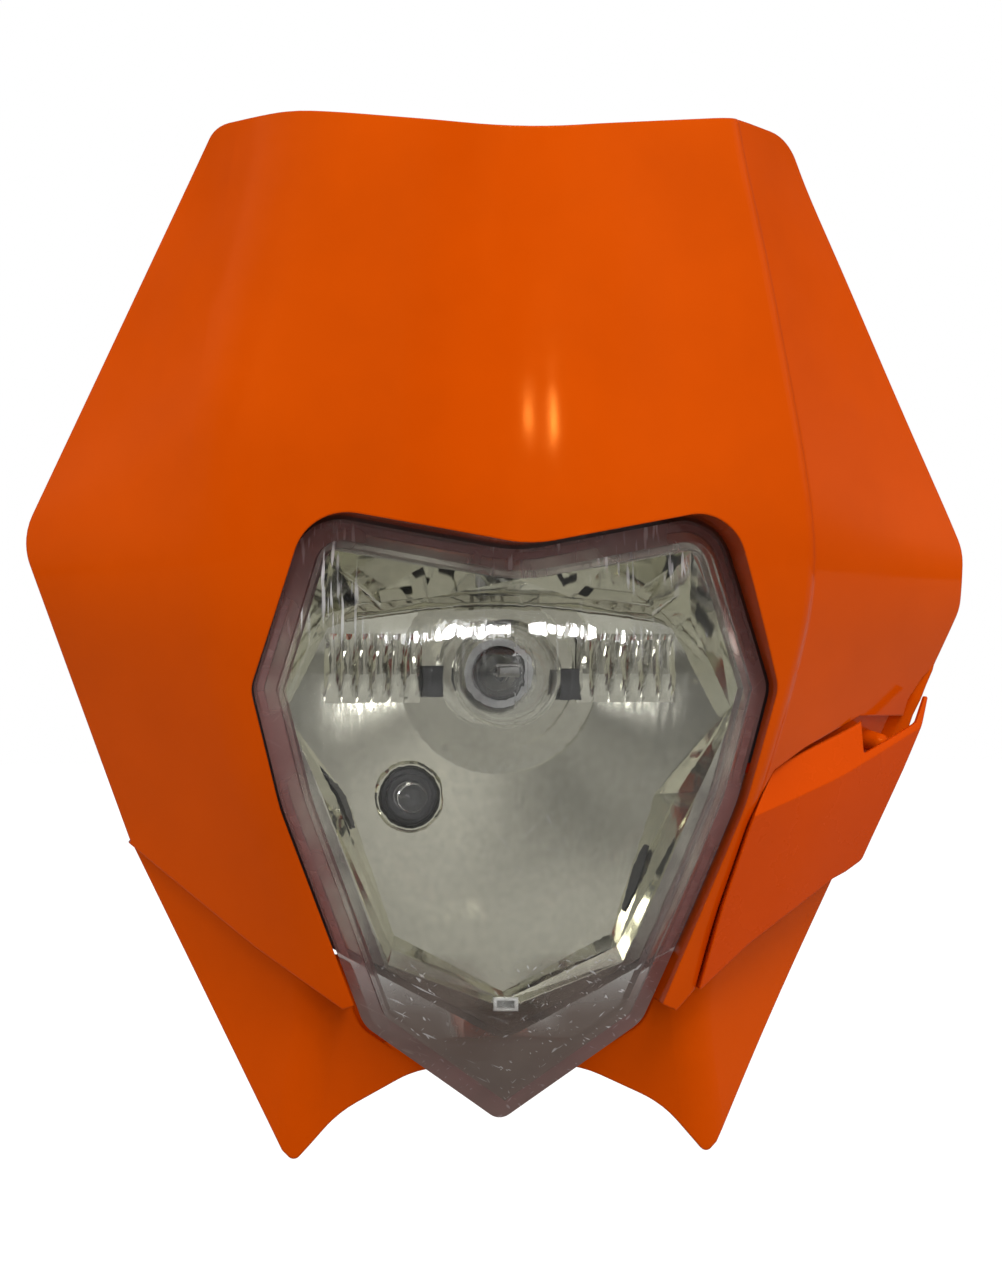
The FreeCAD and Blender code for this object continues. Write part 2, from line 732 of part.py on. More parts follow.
lug_part = fuse("lug_part", lug, arm)
lug_part.Placement = Placement(pivot, lean.Rotation)
bridge_room = block("bridge_room", (-90, 13, 0), (90, 90, 60))
flange_wide = cut("flange_wide", feature("flange_prism", prism(grown(lens_outline, size("housing_flange")))),
                  block("flange_low_room", (-DEEP, -DEEP, -DEEP), (DEEP, DEEP, size("flange_break"))))
flange_outline = fuse("flange_outline", flange_wide, feature("low_flange_prism", prism(
    grown(lens_outline, size("low_flange")))))
flange = cut("flange", common("flange_block", housing_top, housing_zone, flange_outline),
             feature("flange_back", set_back(lens_form, housing_front + size("flange_thick"))))
housing_solid = cut("housing_solid", fuse("housing_block", skirt, dome_part, flange), bridge_room)
breather_place = Placement(pivot + Vector(34.0, 0, 24.0), BACKWARDS)
nozzle = cylinder("nozzle", "3.2", "16", breather_place * Placement(Vector(0, 0, 19), Rotation()))
housing_full = fuse("housing_full", housing_solid, neck, nozzle, pivot_bosses[0], pivot_bosses[1], lug_part)
inner_zone = feature("inner_zone", prism(above_vee(34.0 + wall * 1.14, 0.5, CHIN_RISE)))
skirt_hollow = cut("skirt_hollow", common("skirt_hollow_block", housing_inner_prism, inner_zone),
                   feature("skirt_floor", set_back(lens_form, housing_front + size("housing_depth") - wall)))
dome_hollow = common("dome_hollow", dome("dome_inner", wall, wall), housing_inner_prism, inner_zone)
hollow_room = block("hollow_room", (-90, 13 - wall, 0), (90, 90, 60 + wall))
hollow = cut("housing_hollow", fuse("hollow_block", skirt_hollow, dome_hollow), hollow_room)
neck_hole = cylinder("neck_hole", "sizes.neck_radius - sizes.housing_wall", "60", Placement(
    Vector(0, -size("housing_back") - 8, size("pivot_height")), BACKWARDS))
pivot_holes = [cylinder(f"pivot_hole_{name}", "sizes.pivot_thread_radius", "8",
                        Placement(Vector(x, 0, pivot.z), SIDEWAYS))
               for name, x in (("right", 77.0), ("left", -85.0))]
lug_hole = cylinder("lug_hole", "sizes.adjuster_thread_radius", "12", Placement(
    pivot, lean.Rotation) * Placement(Vector(0, 0, -drop - 1), Rotation()))
housing = cut("housing", housing_full, hollow, neck_hole, pivot_holes[0], pivot_holes[1], lug_hole)
node("lamp_housing", housing)

# Reflector: a shallow bowl with a stepped neck, cut by flat facets that open out to a rim
# behind the lens. Radius from the bulb's axis and reach of the bowl:
BOWL = [(31.0, -8.0), (50.0, -4.5), (70.0, -1.0), (90.0, 1.5), (110.0, 3.0)]
STEP_RADII = (31.0, 23.5)
STEP_DEPTH = 2.4
BOWL_FRONT = 60.0
bowl_wall = size("reflector_wall")


def bowl_front(shift):
    """All that lies in front of the bowl, its surface moved back and outwards by a shift."""
    spots = [Vector(out + shift, shift - reach, 0) for out, reach in BOWL]
    curve = Part.BSplineCurve()
    curve.interpolate(spots)
    corners = [spots[0]]
    for radius in STEP_RADII:
        below = Vector(radius + shift, corners[-1].y, 0)
        if (below - corners[-1]).Length > 1e-6:
            corners.append(below)
        corners.append(below + Vector(0, STEP_DEPTH, 0))
    corners += [Vector(0, corners[-1].y, 0), Vector(0, -BOWL_FRONT, 0), Vector(spots[-1].x, -BOWL_FRONT, 0), spots[-1]]
    wire = Part.Wire([curve.toShape()] + Part.makePolygon(corners).Edges)
    solid = Part.Face(wire).revolve(Vector(), Vector(0, 1, 0), 360)
    solid.translate(pivot)
    return solid


def lens_reach(x, height):
    """Reach of the plain lens skin at a front-view place."""
    rows = sorted(LENS)
    for (low, low_middle, low_side), (high, high_middle, high_side) in zip(rows, rows[1:]):
        if low <= height <= high:
            part = (height - low) / (high - low)
            middle = low_middle + (high_middle - low_middle) * part
            side = low_side + (high_side - low_side) * part
            return middle + (side - middle) * min(abs(x) / LENS_SIDE, 1.0)
    raise ValueError(f"no lens at height {height}")


# Facet corners of the right half, top to bottom: rim x and height, crease x, height and reach,
# bowl x, height and reach
FACETS = [
    (0, 173.0, 0, 168.9, -3.0, 0, 166.2, -9.5),
    (27.0, 177.0, 22.0, 168.0, -1.5, 24.0, 165.0, -8.6),
    (54.0, 182.0, 44.0, 166.0, 1.0, 44.6, 161.8, -5.0),
    (61.0, 165.5, 56.0, 162.3, 10.0, 53.0, 158.6, -4.0),
    (69.5, 138.0, 68.2, 134.8, 11.0, 66.8, 131.8, -1.6),
    (56.6, 109.8, 52.0, 108.8, 9.0, 47.2, 107.8, -3.0),
    (35.6, 58.0, 34.4, 62.2, 5.0, 33.2, 66.0, 0.9),
    (0, 44.2, 0, 46.4, 4.8, 0, 48.6, 2.0),
]
FACET_FRONT = 45.0
FACET_BACK = -20.0


def facet_rows(wall_out):
    """Rim, crease and bowl corners all round, moved outwards and back by a wall."""
    right = []
    for rim_x, rim_height, crease_x, crease_height, crease, bowl_x, bowl_height, bowl in FACETS:
        rim = lens_reach(rim_x, rim_height) - size("lens_wall") - size("reflector_gap")
        right.append((at(rim_x, rim, rim_height), at(crease_x, crease, crease_height), at(bowl_x, bowl, bowl_height)))
    left = [tuple(Vector(-point.x, point.y, point.z) for point in row) for row in reversed(right[1:-1])]
    ring = right + left
    rows = []
    for level in range(3):
        points = [row[level] for row in ring]
        moved = []
        for index, here in enumerate(points):
            along = points[(index + 1) % len(points)] - points[index - 1]
            outward = Vector(-along.z, 0, along.x).normalize()
            if outward.dot(here - Vector(0, here.y, 115)) < 0:
                outward = outward * -1
            moved.append(here + outward * wall_out * 1.25 + Vector(0, wall_out * (1.0 if level else 0.3), 0))
        rows.append(moved)
    return rows


def triangle(first, second, third):
    return Part.Face(Part.makePolygon([first, second, third, first]))


def carried_on(start, end, reach):
    """The point of the line from start through end that has this reach."""
    return start + (end - start) * ((-reach - start.y) / (end.y - start.y))


def facet_solid(wall_out):
    """The room inside the facets, carried on straight past the rim and past the bowl."""
    rim, crease, bowl = facet_rows(wall_out)
    front = [carried_on(c, r, FACET_FRONT) for r, c in zip(rim, crease)]
    deep = [carried_on(c, b, FACET_BACK - wall_out) for b, c in zip(bowl, crease)]
    levels = [front, rim, crease, bowl, deep]
    faces = [Part.Face(Part.makePolygon(ring + ring[:1])) for ring in (front[::-1], deep)]
    count = len(rim)
    for upper, lower in zip(levels, levels[1:]):
        for index in range(count):
            after = (index + 1) % count
            corners = (upper[index], upper[after], lower[after], lower[index])
            on_right = (corners[0] + corners[1]).x > 0
            for triple in ((0, 1, 2), (0, 2, 3)) if on_right else ((0, 1, 3), (1, 2, 3)):
                faces.append(triangle(*(corners[k] for k in triple)))
    solid = Part.Solid(Part.makeShell(faces))
    if solid.Volume < 0:
        solid.reverse()
    return solid


skirt_inset = inset + wall + size("reflector_gap")
vee_gap = 0.4
rim_back = seal_front + size("reflector_gap")
reflector_zone = feature("reflector_zone", prism(above_vee(34.0 + wall * 1.14 + vee_gap, 0.5, CHIN_RISE)))
reflector_prism = feature("reflector_prism", prism(grown(lens_outline, -skirt_inset)))
facet_room = feature("facet_room", facet_solid(0.0))
rim_form = feature("rim_form", set_back(lens_form, rim_back))
cup_outside = facet_solid(bowl_wall).common(bowl_front(bowl_wall))
for limit in (reflector_prism, rim_form, reflector_zone):
    cup_outside = cup_outside.common(limit.Shape)
cup = feature("cup", cup_outside.cut(facet_room.Shape.common(bowl_front(0.0))))
rim_flange = cut("rim_flange", common("rim_flange_block", reflector_prism, reflector_zone, rim_form),
                 feature("rim_flange_back", set_back(lens_form, rim_back + bowl_wall)), facet_room)
skirt_ring = cut("skirt_ring", common("skirt_ring_block", reflector_prism, reflector_zone, rim_form),
                 feature("skirt_ring_core", prism(grown(lens_outline, -skirt_inset - bowl_wall))),
                 feature("skirt_ring_back", set_back(lens_form, rim_back + size("reflector_skirt"))))


def behind_bowl(shift):
    """All that lies behind the bowl's front, moved back by a shift."""
    curve = Part.BSplineCurve()
    curve.interpolate([Vector(0, shift - BOWL[0][1], 0)] + [Vector(out, shift - reach, 0) for out, reach in BOWL])
    corner = Vector(BOWL[-1][0], DEEP, 0)
    sides = Part.makePolygon([curve.EndPoint, corner, Vector(0, DEEP, 0), curve.StartPoint])
    solid = Part.Face(Part.Wire([curve.toShape()] + sides.Edges)).revolve(Vector(), Vector(0, 1, 0), 360)
    solid.translate(pivot)
    return solid


side_place = Placement(Vector(size("side_lamp_x"), 0, size("side_lamp_height")), BACKWARDS)
side_boss = common("side_boss", feature("bowl_shadow", behind_bowl(bowl_wall / 2)), cylinder(
    "side_boss_bar", "sizes.side_lamp_radius + sizes.side_boss_wall", "30 + sizes.side_boss_end",
    side_place * Placement(Vector(0, 0, -30), Rotation())))
side_hole = cylinder("side_hole", "sizes.side_lamp_radius", "60", Placement(
    Vector(size("side_lamp_x"), -30, size("side_lamp_height")), BACKWARDS))
CLIP_LOW = 43.2
clip_block = block("clip_block", (-3.7, -7.5, CLIP_LOW), (3.7, -2.6, CLIP_LOW + 4.0))
bulb_hole = cylinder("bulb_hole", "sizes.carrier_radius + 0.4", "40", Placement(pivot, BACKWARDS))
housing_room = feature("housing_room", set_back(housing.Shape, -size("reflector_gap")))
reflector = cut("reflector", fuse("reflector_block", cup, rim_flange, skirt_ring, side_boss), side_hole, bulb_hole,
                block("clip_seat", (-3.7, -7.5, CLIP_LOW), (3.7, -2.6, CLIP_LOW + 4.0)), housing_room)
node("reflector", reflector)
clip_room = block("clip_room", (-2.6, -9.0, CLIP_LOW + 0.9), (2.6, -3.6, CLIP_LOW + 3.1))
node("reflector_clip", cut("clip", clip_block, clip_room))

# Swivel bushes and shoulder screws
for name, side in (("left", -1), ("right", 1)):
    outward = SIDEWAYS if side > 0 else Rotation(Vector(0, 1, 0), -90)
    bush = turned(f"bush_{name}", [
        ("sizes.shoulder_radius + sizes.running_gap", "0"), ("sizes.bush_outer", "0"),
        ("sizes.bush_outer", "sizes.ear_thick"), ("sizes.shoulder_radius + sizes.running_gap", "sizes.ear_thick")],
        Placement(Vector(side * size("ear_inner"), 0, pivot.z), outward))
    node(f"swivel_bush_{name}", bush)
    screw = turned(f"swivel_{name}", [
        ("0", "-7"), ("sizes.pivot_thread_radius - 0.02", "-7"), ("sizes.pivot_thread_radius - 0.02", "-0.3"),
        ("sizes.shoulder_radius", "-0.3"), ("sizes.shoulder_radius", "sizes.ear_thick + 0.2"),
        ("sizes.pivot_head_radius", "sizes.ear_thick + 0.2"),
        ("sizes.pivot_head_radius", "sizes.ear_thick + 0.2 + sizes.pivot_head_thick"),
        ("2.6", "sizes.ear_thick + 0.2 + sizes.pivot_head_thick"), ("2.6", "sizes.ear_thick + 1.4"),
        ("0", "sizes.ear_thick + 1.4")],
        Placement(Vector(side * size("ear_inner"), 0, pivot.z), outward))
    node(f"swivel_screw_{name}", screw)

# Adjuster screw and washer
down = Placement(pivot, lean.Rotation) * Placement(
    Vector(0, 0, -drop - size("clamp_gap")), Rotation(Vector(1, 0, 0), 180))
node("adjuster_washer", turned("washer", [
    ("sizes.adjuster_thread_radius + 0.1", "sizes.tab_thick"), ("sizes.washer_radius", "sizes.tab_thick"),
    ("sizes.washer_radius", "sizes.tab_thick + sizes.washer_thick"),
    ("sizes.adjuster_thread_radius + 0.1", "sizes.tab_thick + sizes.washer_thick")], down))
node("adjuster_screw", turned("adjuster", [
    ("0", "-10"), ("sizes.adjuster_thread_radius - 0.02", "-10"),
    ("sizes.adjuster_thread_radius - 0.02", "sizes.tab_thick + sizes.washer_thick"),
    ("sizes.adjuster_head_radius", "sizes.tab_thick + sizes.washer_thick"),
    ("sizes.adjuster_head_radius", "sizes.tab_thick + sizes.washer_thick + sizes.adjuster_head_thick"),
    ("2.2", "sizes.tab_thick + sizes.washer_thick + sizes.adjuster_head_thick"),
    ("2.2", "sizes.tab_thick + sizes.washer_thick + 1.2"), ("0", "sizes.tab_thick + sizes.washer_thick + 1.2")],
    down))

# Bulb: globe, cap, insulator, contacts, filaments and dip shield
bulb_place = Placement(pivot, BACKWARDS)
globe_outer = doc.addObject("Part::Sphere", "globe_outer")
globe_outer.setExpression("Radius", "sizes.globe_radius")
globe_inner = doc.addObject("Part::Sphere", "globe_inner")
globe_inner.setExpression("Radius", "sizes.globe_radius - 0.9")
for ball in (globe_outer, globe_inner):
    ball.Placement = Placement(pivot + Vector(0, -size("bulb_reach"), 0), Rotation())
neck_outer = cylinder("globe_neck", "sizes.cap_radius - 1.4", "12", Placement(
    pivot + Vector(0, -size("bulb_reach") + 10, 0), BACKWARDS))
neck_inner = cylinder("globe_neck_hole", "sizes.cap_radius - 2.3", "14", Placement(
    pivot + Vector(0, -size("bulb_reach") + 9, 0), BACKWARDS))
node("bulb_globe", cut("globe", fuse("globe_block", globe_outer, neck_outer), globe_inner, neck_inner))
cap_start = 11.6
node("bulb_cap", turned("cap", [
    ("sizes.cap_radius - 1.2", str(cap_start)), ("sizes.cap_radius + 1.6", str(cap_start)),
    ("sizes.cap_radius + 1.6", str(cap_start + 1.2)), ("sizes.cap_radius", str(cap_start + 1.2)),
    ("sizes.cap_radius", f"{cap_start} + sizes.cap_length"),
    ("sizes.cap_radius - 1.2", f"{cap_start} + sizes.cap_length")], bulb_place))
node("bulb_insulator", turned("insulator", [
    ("0", f"{cap_start} + sizes.cap_length - 5"), ("sizes.cap_radius - 1.25", f"{cap_start} + sizes.cap_length - 5"),
    ("sizes.cap_radius - 1.25", f"{cap_start} + sizes.cap_length + 0.8"),
    ("0", f"{cap_start} + sizes.cap_length + 0.8")], bulb_place))
contacts = [cylinder(f"contact_{index}", "2.1", "1.2", bulb_place * Placement(
    Vector(x, along, cap_start + size("cap_length") + 0.8), Rotation()))
    for index, (x, along) in enumerate(((-3.6, 2.4), (3.6, 2.4), (0, -4.2)))]
contact_group = doc.addObject("Part::Compound", "contact_group")
contact_group.Links = contacts
node("bulb_contacts", contact_group)


# Bulb carrier, lock ring and rubber boot on the axis of the bulb
neck_front = STEP_DEPTH * 2 - BOWL[0][1]
neck_rear = neck_front + bowl_wall
node("bulb_carrier", turned("carrier", [
    ("sizes.cap_radius + 0.2", f"{neck_front}"), ("sizes.carrier_radius", f"{neck_front}"),
    ("sizes.carrier_radius", f"{neck_rear}"), ("sizes.carrier_radius + 3.4", f"{neck_rear}"),
    ("sizes.carrier_radius + 3.4", f"{neck_rear} + 1.5"), ("sizes.cap_radius + 3", f"{neck_rear} + 1.5"),
    ("sizes.cap_radius + 3", f"{neck_rear} + 9"), ("sizes.cap_radius + 0.2", f"{neck_rear} + 9")], bulb_place))
node("bulb_lock_ring", turned("lock_ring", [
    ("sizes.cap_radius + 3.1", f"{neck_rear} + 3"), ("sizes.cap_radius + 6.5", f"{neck_rear} + 3"),
    ("sizes.cap_radius + 6.5", f"{neck_rear} + 5.5"), ("sizes.cap_radius + 3.1", f"{neck_rear} + 5.5")], bulb_place))
boot_seat = -size("housing_back") + 1.5
boot_end = -size("housing_back") + size("neck_length")
node("rubber_boot", turned("boot", [
    ("sizes.neck_radius + 0.1", f"{boot_seat}"), ("sizes.neck_radius + 2.4", f"{boot_seat}"),
    ("sizes.neck_radius + 2.4", f"{boot_end} + 1.6"), ("21", f"{boot_end} + 8"), ("13", f"{boot_end} + 14"),
    ("6.4", f"{boot_end} + 15"), ("6.0", f"{boot_end} + 22"), ("4", f"{boot_end} + 22"),
    ("4", f"{boot_end} + 13"), ("11.6", f"{boot_end} + 12.2"), ("19.4", f"{boot_end} + 6.4"),
    ("sizes.neck_radius + 0.1", f"{boot_end} + 0.2")], bulb_place))
node("breather_cap", turned("breather", [
    ("3.3", "30.3"), ("5.0", "30.3"), ("5.0", "37"), ("4.2", "38"), ("0", "38"), ("0", "35.1"), ("3.3", "35.1")],
    breather_place))

# Filaments, their wires, the dip shield and the glass stem
beam = size("bulb_reach")
stem = turned("stem", [
    ("0", "-1"), ("2.6", "-0.6"), ("4.2", "3"), ("7.4", "10"), ("7.4", "12.6"), ("0", "12.6")], bulb_place)
node("bulb_stem", stem)


def thin_bar(name, radius, start, end):
    way = end - start
    return cylinder(name, str(radius), str(way.Length), Placement(start, Rotation(Vector(0, 0, 1), way)))


node("filament_main", thin_bar("main_coil", 0.8, pivot + Vector(-3.0, -beam, 0), pivot + Vector(3.0, -beam, 0)))
node("filament_dip", thin_bar("dip_coil", 0.8, pivot + Vector(-3.0, -beam - 5, 2.5), pivot + Vector(3.0, -beam - 5, 2.5)))
shield_place = pivot + Vector(0, -beam - 5, 2.5)
shield_outer = cylinder("shield_outer", "3.4", "5.6", Placement(shield_place - Vector(2.8, 0, 0), SIDEWAYS))
shield_inner = cylinder("shield_inner", "3.1", "7", Placement(shield_place - Vector(3.5, 0, 0), SIDEWAYS))
shield_room = block("shield_room", (-5, -beam - 10, 2.0), (5, -beam, 10), Placement(pivot, Rotation()))
shield = cut("shield", shield_outer, shield_inner, shield_room)
node("dip_shield", shield)
wires = [thin_bar(f"wire_{index}", 0.35, pivot + Vector(x, 1.5, height * 0.4), pivot + Vector(x, -reach, height))
         for index, (x, height, reach) in enumerate(((-3.35, 0, beam + 0.8), (3.35, 0, beam + 0.8),
                                                     (-3.35, 2.5, beam + 5.8), (3.35, 2.5, beam + 5.8)))]
wires.append(thin_bar("shield_wire", 0.35, pivot + Vector(0, 1.0, -3.0), pivot + Vector(0, -12.0, -0.7)))
wire_group = doc.addObject("Part::Compound", "wire_group")
stem_room = feature("stem_room", stem.Shape)
wire_end_room = feature("wire_end_room", shield.Shape)
wire_group.Links = [cut(f"{wire.Label}_trimmed", wire, stem_room, wire_end_room) for wire in wires]
node("filament_wires", wire_group)

# Position lamp
node("position_bulb", turned("side_bulb", [
    ("0", "-7"), ("2.6", "-6.6"), ("4.2", "-5"), ("4.8", "-2.5"), ("4.8", "4"), ("4.4", "8"), ("0", "8")], side_place))
node("position_lamp_holder", turned("side_holder", [
    ("4.95", "2.5"), ("7.0", "2.5"), ("7.0", "6"), ("sizes.side_lamp_radius - 0.2", "6"),
    ("sizes.side_lamp_radius - 0.2", "sizes.side_boss_end + 0.1"),
    ("sizes.side_lamp_radius + sizes.side_boss_wall", "sizes.side_boss_end + 0.1"),
    ("sizes.side_lamp_radius + sizes.side_boss_wall", "sizes.side_boss_end + 2.4"),
    ("6", "sizes.side_boss_end + 2.4"), ("5.4", "sizes.side_boss_end + 7"), ("0", "sizes.side_boss_end + 7"),
    ("0", "8.1"), ("4.95", "8.1")], side_place))

# Set every piece on the tongues, then check and write
doc.recompute()
for thing in doc.Objects:
    if any(word in thing.State for word in ("Invalid", "Error")):
        raise RuntimeError(f"{thing.Label} failed: {thing.State}")
mount = Vector(0, -size("tongue_root"), -size("tongue_height"))
for thing in NODES:
    thing.Placement = Placement(mount, Rotation()) * thing.Placement
doc.recompute()
for thing in NODES:
    if thing.Shape.isNull() or not thing.Shape.isValid():
        raise RuntimeError(f"{thing.Label} has no valid shape")
os.makedirs("parts", exist_ok=True)
for thing in NODES:
    thing.Shape.exportStep(f"parts/{thing.Label}.step")
    print(thing.Label, len(thing.Shape.Solids), round(thing.Shape.Volume / 1000, 2))
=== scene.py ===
import bpy
import math
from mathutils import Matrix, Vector

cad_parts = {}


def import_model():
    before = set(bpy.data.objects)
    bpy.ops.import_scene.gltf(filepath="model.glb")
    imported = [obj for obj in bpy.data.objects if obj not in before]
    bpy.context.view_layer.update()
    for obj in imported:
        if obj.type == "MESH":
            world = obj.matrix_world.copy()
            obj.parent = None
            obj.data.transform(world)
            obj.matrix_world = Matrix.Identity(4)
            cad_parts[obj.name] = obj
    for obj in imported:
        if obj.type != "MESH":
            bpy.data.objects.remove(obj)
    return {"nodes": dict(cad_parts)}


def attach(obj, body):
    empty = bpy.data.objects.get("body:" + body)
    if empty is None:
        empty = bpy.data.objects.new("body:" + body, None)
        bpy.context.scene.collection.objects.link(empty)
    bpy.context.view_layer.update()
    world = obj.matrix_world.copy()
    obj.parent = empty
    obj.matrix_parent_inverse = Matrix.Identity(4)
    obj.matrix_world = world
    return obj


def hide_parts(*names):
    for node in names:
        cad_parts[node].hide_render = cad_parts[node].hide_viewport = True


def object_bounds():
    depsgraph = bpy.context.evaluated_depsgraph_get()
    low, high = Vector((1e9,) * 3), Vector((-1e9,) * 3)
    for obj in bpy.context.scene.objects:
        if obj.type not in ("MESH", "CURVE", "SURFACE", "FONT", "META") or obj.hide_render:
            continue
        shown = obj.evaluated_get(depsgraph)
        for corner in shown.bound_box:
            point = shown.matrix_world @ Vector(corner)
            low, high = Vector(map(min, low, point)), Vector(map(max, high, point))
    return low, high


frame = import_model()
cad_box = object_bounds()

# Camera: level, a little to the viewer's left of the mask, as the photograph was taken
IMAGE = (1002, 1280)
FOCAL_PIXELS = 3278.7
PRINCIPAL = (502.3, 634.0)
YAW = math.radians(7.5)
DISTANCE = 1.0
AIM = Vector((0.0, -0.021, 0.1305))
SENSOR = 36.0
CLIP = (0.05, 20.0)


def link(name, data):
    """A new object in the scene."""
    thing = bpy.data.objects.new(name, data)
    bpy.context.scene.collection.objects.link(thing)
    return thing


def stand(thing, place, way):
    """Puts a camera or lamp in its place, looking along a way."""
    thing.location = place
    thing.rotation_mode = "QUATERNION"
    thing.rotation_quaternion = way.to_track_quat("-Z", "Y")


def add_camera():
    data = bpy.data.cameras.new("camera")
    data.sensor_fit = "AUTO"
    data.sensor_width = SENSOR
    data.lens = SENSOR * FOCAL_PIXELS / IMAGE[1]
    data.shift_x = (IMAGE[0] / 2 - PRINCIPAL[0]) / IMAGE[1]
    data.shift_y = (PRINCIPAL[1] - IMAGE[1] / 2) / IMAGE[1]
    data.clip_start, data.clip_end = CLIP
    back = Vector((-math.sin(YAW), -math.cos(YAW), 0.0))
    camera = link("camera", data)
    stand(camera, AIM + back * DISTANCE, -back)
    bpy.context.scene.camera = camera


add_camera()


class Nodes:
    """A node tree, emptied first, with short ways to add and join nodes."""

    def __init__(self, tree):
        self.tree = tree
        tree.nodes.clear()

    def feed(self, socket, value):
        """Joins another node's output to a socket, or sets the socket's own value."""
        if isinstance(value, bpy.types.NodeSocket):
            self.tree.links.new(value, socket)
        elif socket.type == "RGBA":
            socket.default_value = (*value, 1.0)
        else:
            socket.default_value = value

    def add(self, kind, inputs=None, **settings):
        """A new node with its settings, and what its inputs get by name or number."""
        node = self.tree.nodes.new("ShaderNode" + kind)
        for key, value in settings.items():
            setattr(node, key, value)
        for key, value in (inputs or {}).items():
            self.feed(node.inputs[key], value)
        return node

    def noise(self, vector, scale, detail, roughness):
        values = {"Vector": vector, "Scale": scale, "Detail": detail, "Roughness": roughness}
        return self.add("TexNoise", values).outputs["Fac"]

    def level(self, value, low, high, to_low=0.0, to_high=1.0, **settings):
        """The range from low to high carried over to another range, and held at its ends."""
        values = {"Value": value, "From Min": low, "From Max": high, "To Min": to_low, "To Max": to_high}
        return self.add("MapRange", values, **settings).outputs["Result"]

    def combine(self, operation, *values):
        """Values joined by one operation of the maths node."""
        result = values[0]
        for value in values[1:]:
            result = self.add("Math", {0: result, 1: value}, operation=operation).outputs[0]
        return result

    def mixed(self, fac, first, second):
        """A shader between two others."""
        return self.add("MixShader", {"Fac": fac, 1: first.outputs[0], 2: second.outputs[0]})


class Shader(Nodes):
    """The node tree of a new material."""

    def __init__(self, name):
        self.material = bpy.data.materials.new(name)
        self.material.use_nodes = True
        super().__init__(self.material.node_tree)
        self.output = self.add("OutputMaterial")
        self.coords = self.add("TexCoord").outputs["Object"]

    def surface(self, shader):
        self.feed(self.output.inputs["Surface"], shader.outputs[0])
        return self.material

    def principled(self, colour, roughness, **more):
        inputs = {name.replace("_", " ").title(): value for name, value in more.items()}
        return self.add("BsdfPrincipled", {"Base Color": colour, "Roughness": roughness, **inputs})

    def grain(self, scale, detail, roughness, vector=None):
        """A noise on the material's own coordinates."""
        return self.noise(vector or self.coords, scale, detail, roughness)

    def scaled(self, size, vector=None):
        """Coordinates scaled along the axes."""
        return self.add("Mapping", {"Vector": vector or self.coords, "Scale": size}).outputs["Vector"]

    def turned(self, size, lean):
        """Coordinates scaled along axes that lean to one side in the front view."""
        turn = self.add("VectorRotate", {"Vector": self.coords, "Angle": lean}, rotation_type="Y_AXIS")
        return self.scaled(size, turn.outputs["Vector"])

    def ramp(self, fac, stops):
        node = self.add("ValToRGB", {"Fac": fac})
        elements = node.color_ramp.elements
        while len(elements) < len(stops):
            elements.new(0.5)
        for element, (position, colour) in zip(elements, stops):
            element.position = position
            element.color = (*colour, 1.0)
        return node.outputs["Color"]

    def bump(self, height, strength, distance):
        values = {"Height": height, "Strength": strength, "Distance": distance}
        return self.add("Bump", values).outputs["Normal"]


# Noises of the materials: scale, detail and roughness. A plastic's grain has a scale of its own.
CLOUDS = (18.0, 4.0, 0.55)
UNEVEN_GLOSS = (45.0, 5.0, 0.6)
METAL_TONES = (6.0, 4.0, 0.6)
METAL_GLOSS = (8.0, 4.0, 0.6)
FILM_WAVES = (55.0, 4.0, 0.6)
FILM_PATCHES = (26.0, 3.0, 0.6)
FILM_STREAKS = (520.0, 2.0, 0.5)
FILM_SCRATCHES = (900.0, 1.0, 0.5)
# Where most of a noise's values lie
COMMON = (0.3, 0.7)

GRAIN = (2.0, 0.5)
GRAIN_DEPTH = 0.0002
EDGE_RADIUS = 0.0009
SMOOTHER, ROUGHER = 0.03, 0.06
BEVEL_SAMPLES = 4


def plastic(name, dark, light, roughness, fineness, strength, sheen=0.5, tint=(1.0, 1.0, 1.0)):
    """Moulded plastic: slightly cloudy, with a grain, uneven gloss and softened edges."""
    s = Shader(name)
    colour = s.ramp(s.grain(*CLOUDS), list(zip(COMMON, (dark, light))))
    rough = s.level(s.grain(*UNEVEN_GLOSS), *COMMON, roughness - SMOOTHER, roughness + ROUGHER)
    grained = s.bump(s.grain(fineness, *GRAIN), strength, GRAIN_DEPTH)
    edge = s.add("Bevel", {"Radius": EDGE_RADIUS, "Normal": grained}, samples=BEVEL_SAMPLES)
    shader = s.principled(colour, rough, normal=edge.outputs["Normal"])
    shader.inputs["Specular IOR Level"].default_value = sheen
    shader.inputs["Specular Tint"].default_value = (*tint, 1.0)
    return s.surface(shader)


METAL_SCALE = (60.0, 60.0, 60.0)
METAL_SMOOTHER, METAL_ROUGHER = 0.8, 1.2


def metal(name, dark, light, roughness):
    """Metal with slight changes of tone and gloss."""
    s = Shader(name)
    colour = s.ramp(s.grain(*METAL_TONES, s.scaled(METAL_SCALE)), list(zip(COMMON, (dark, light))))
    rough = s.level(s.grain(*METAL_GLOSS), *COMMON, roughness * METAL_SMOOTHER, roughness * METAL_ROUGHER)
    return s.surface(s.principled(colour, rough, metallic=1.0))


def let_through(s, glass):
    """Lets the lamps' light straight through a clear shader."""
    ray = s.add("LightPath")
    return s.mixed(ray.outputs["Is Shadow Ray"], glass, s.add("BsdfTransparent"))


def clear(name, tint, roughness, ior):
    """Clear glass."""
    s = Shader(name)
    glass = s.principled(tint, roughness, transmission_weight=1.0)
    glass.inputs["IOR"].default_value = ior
    return s.surface(let_through(s, glass))


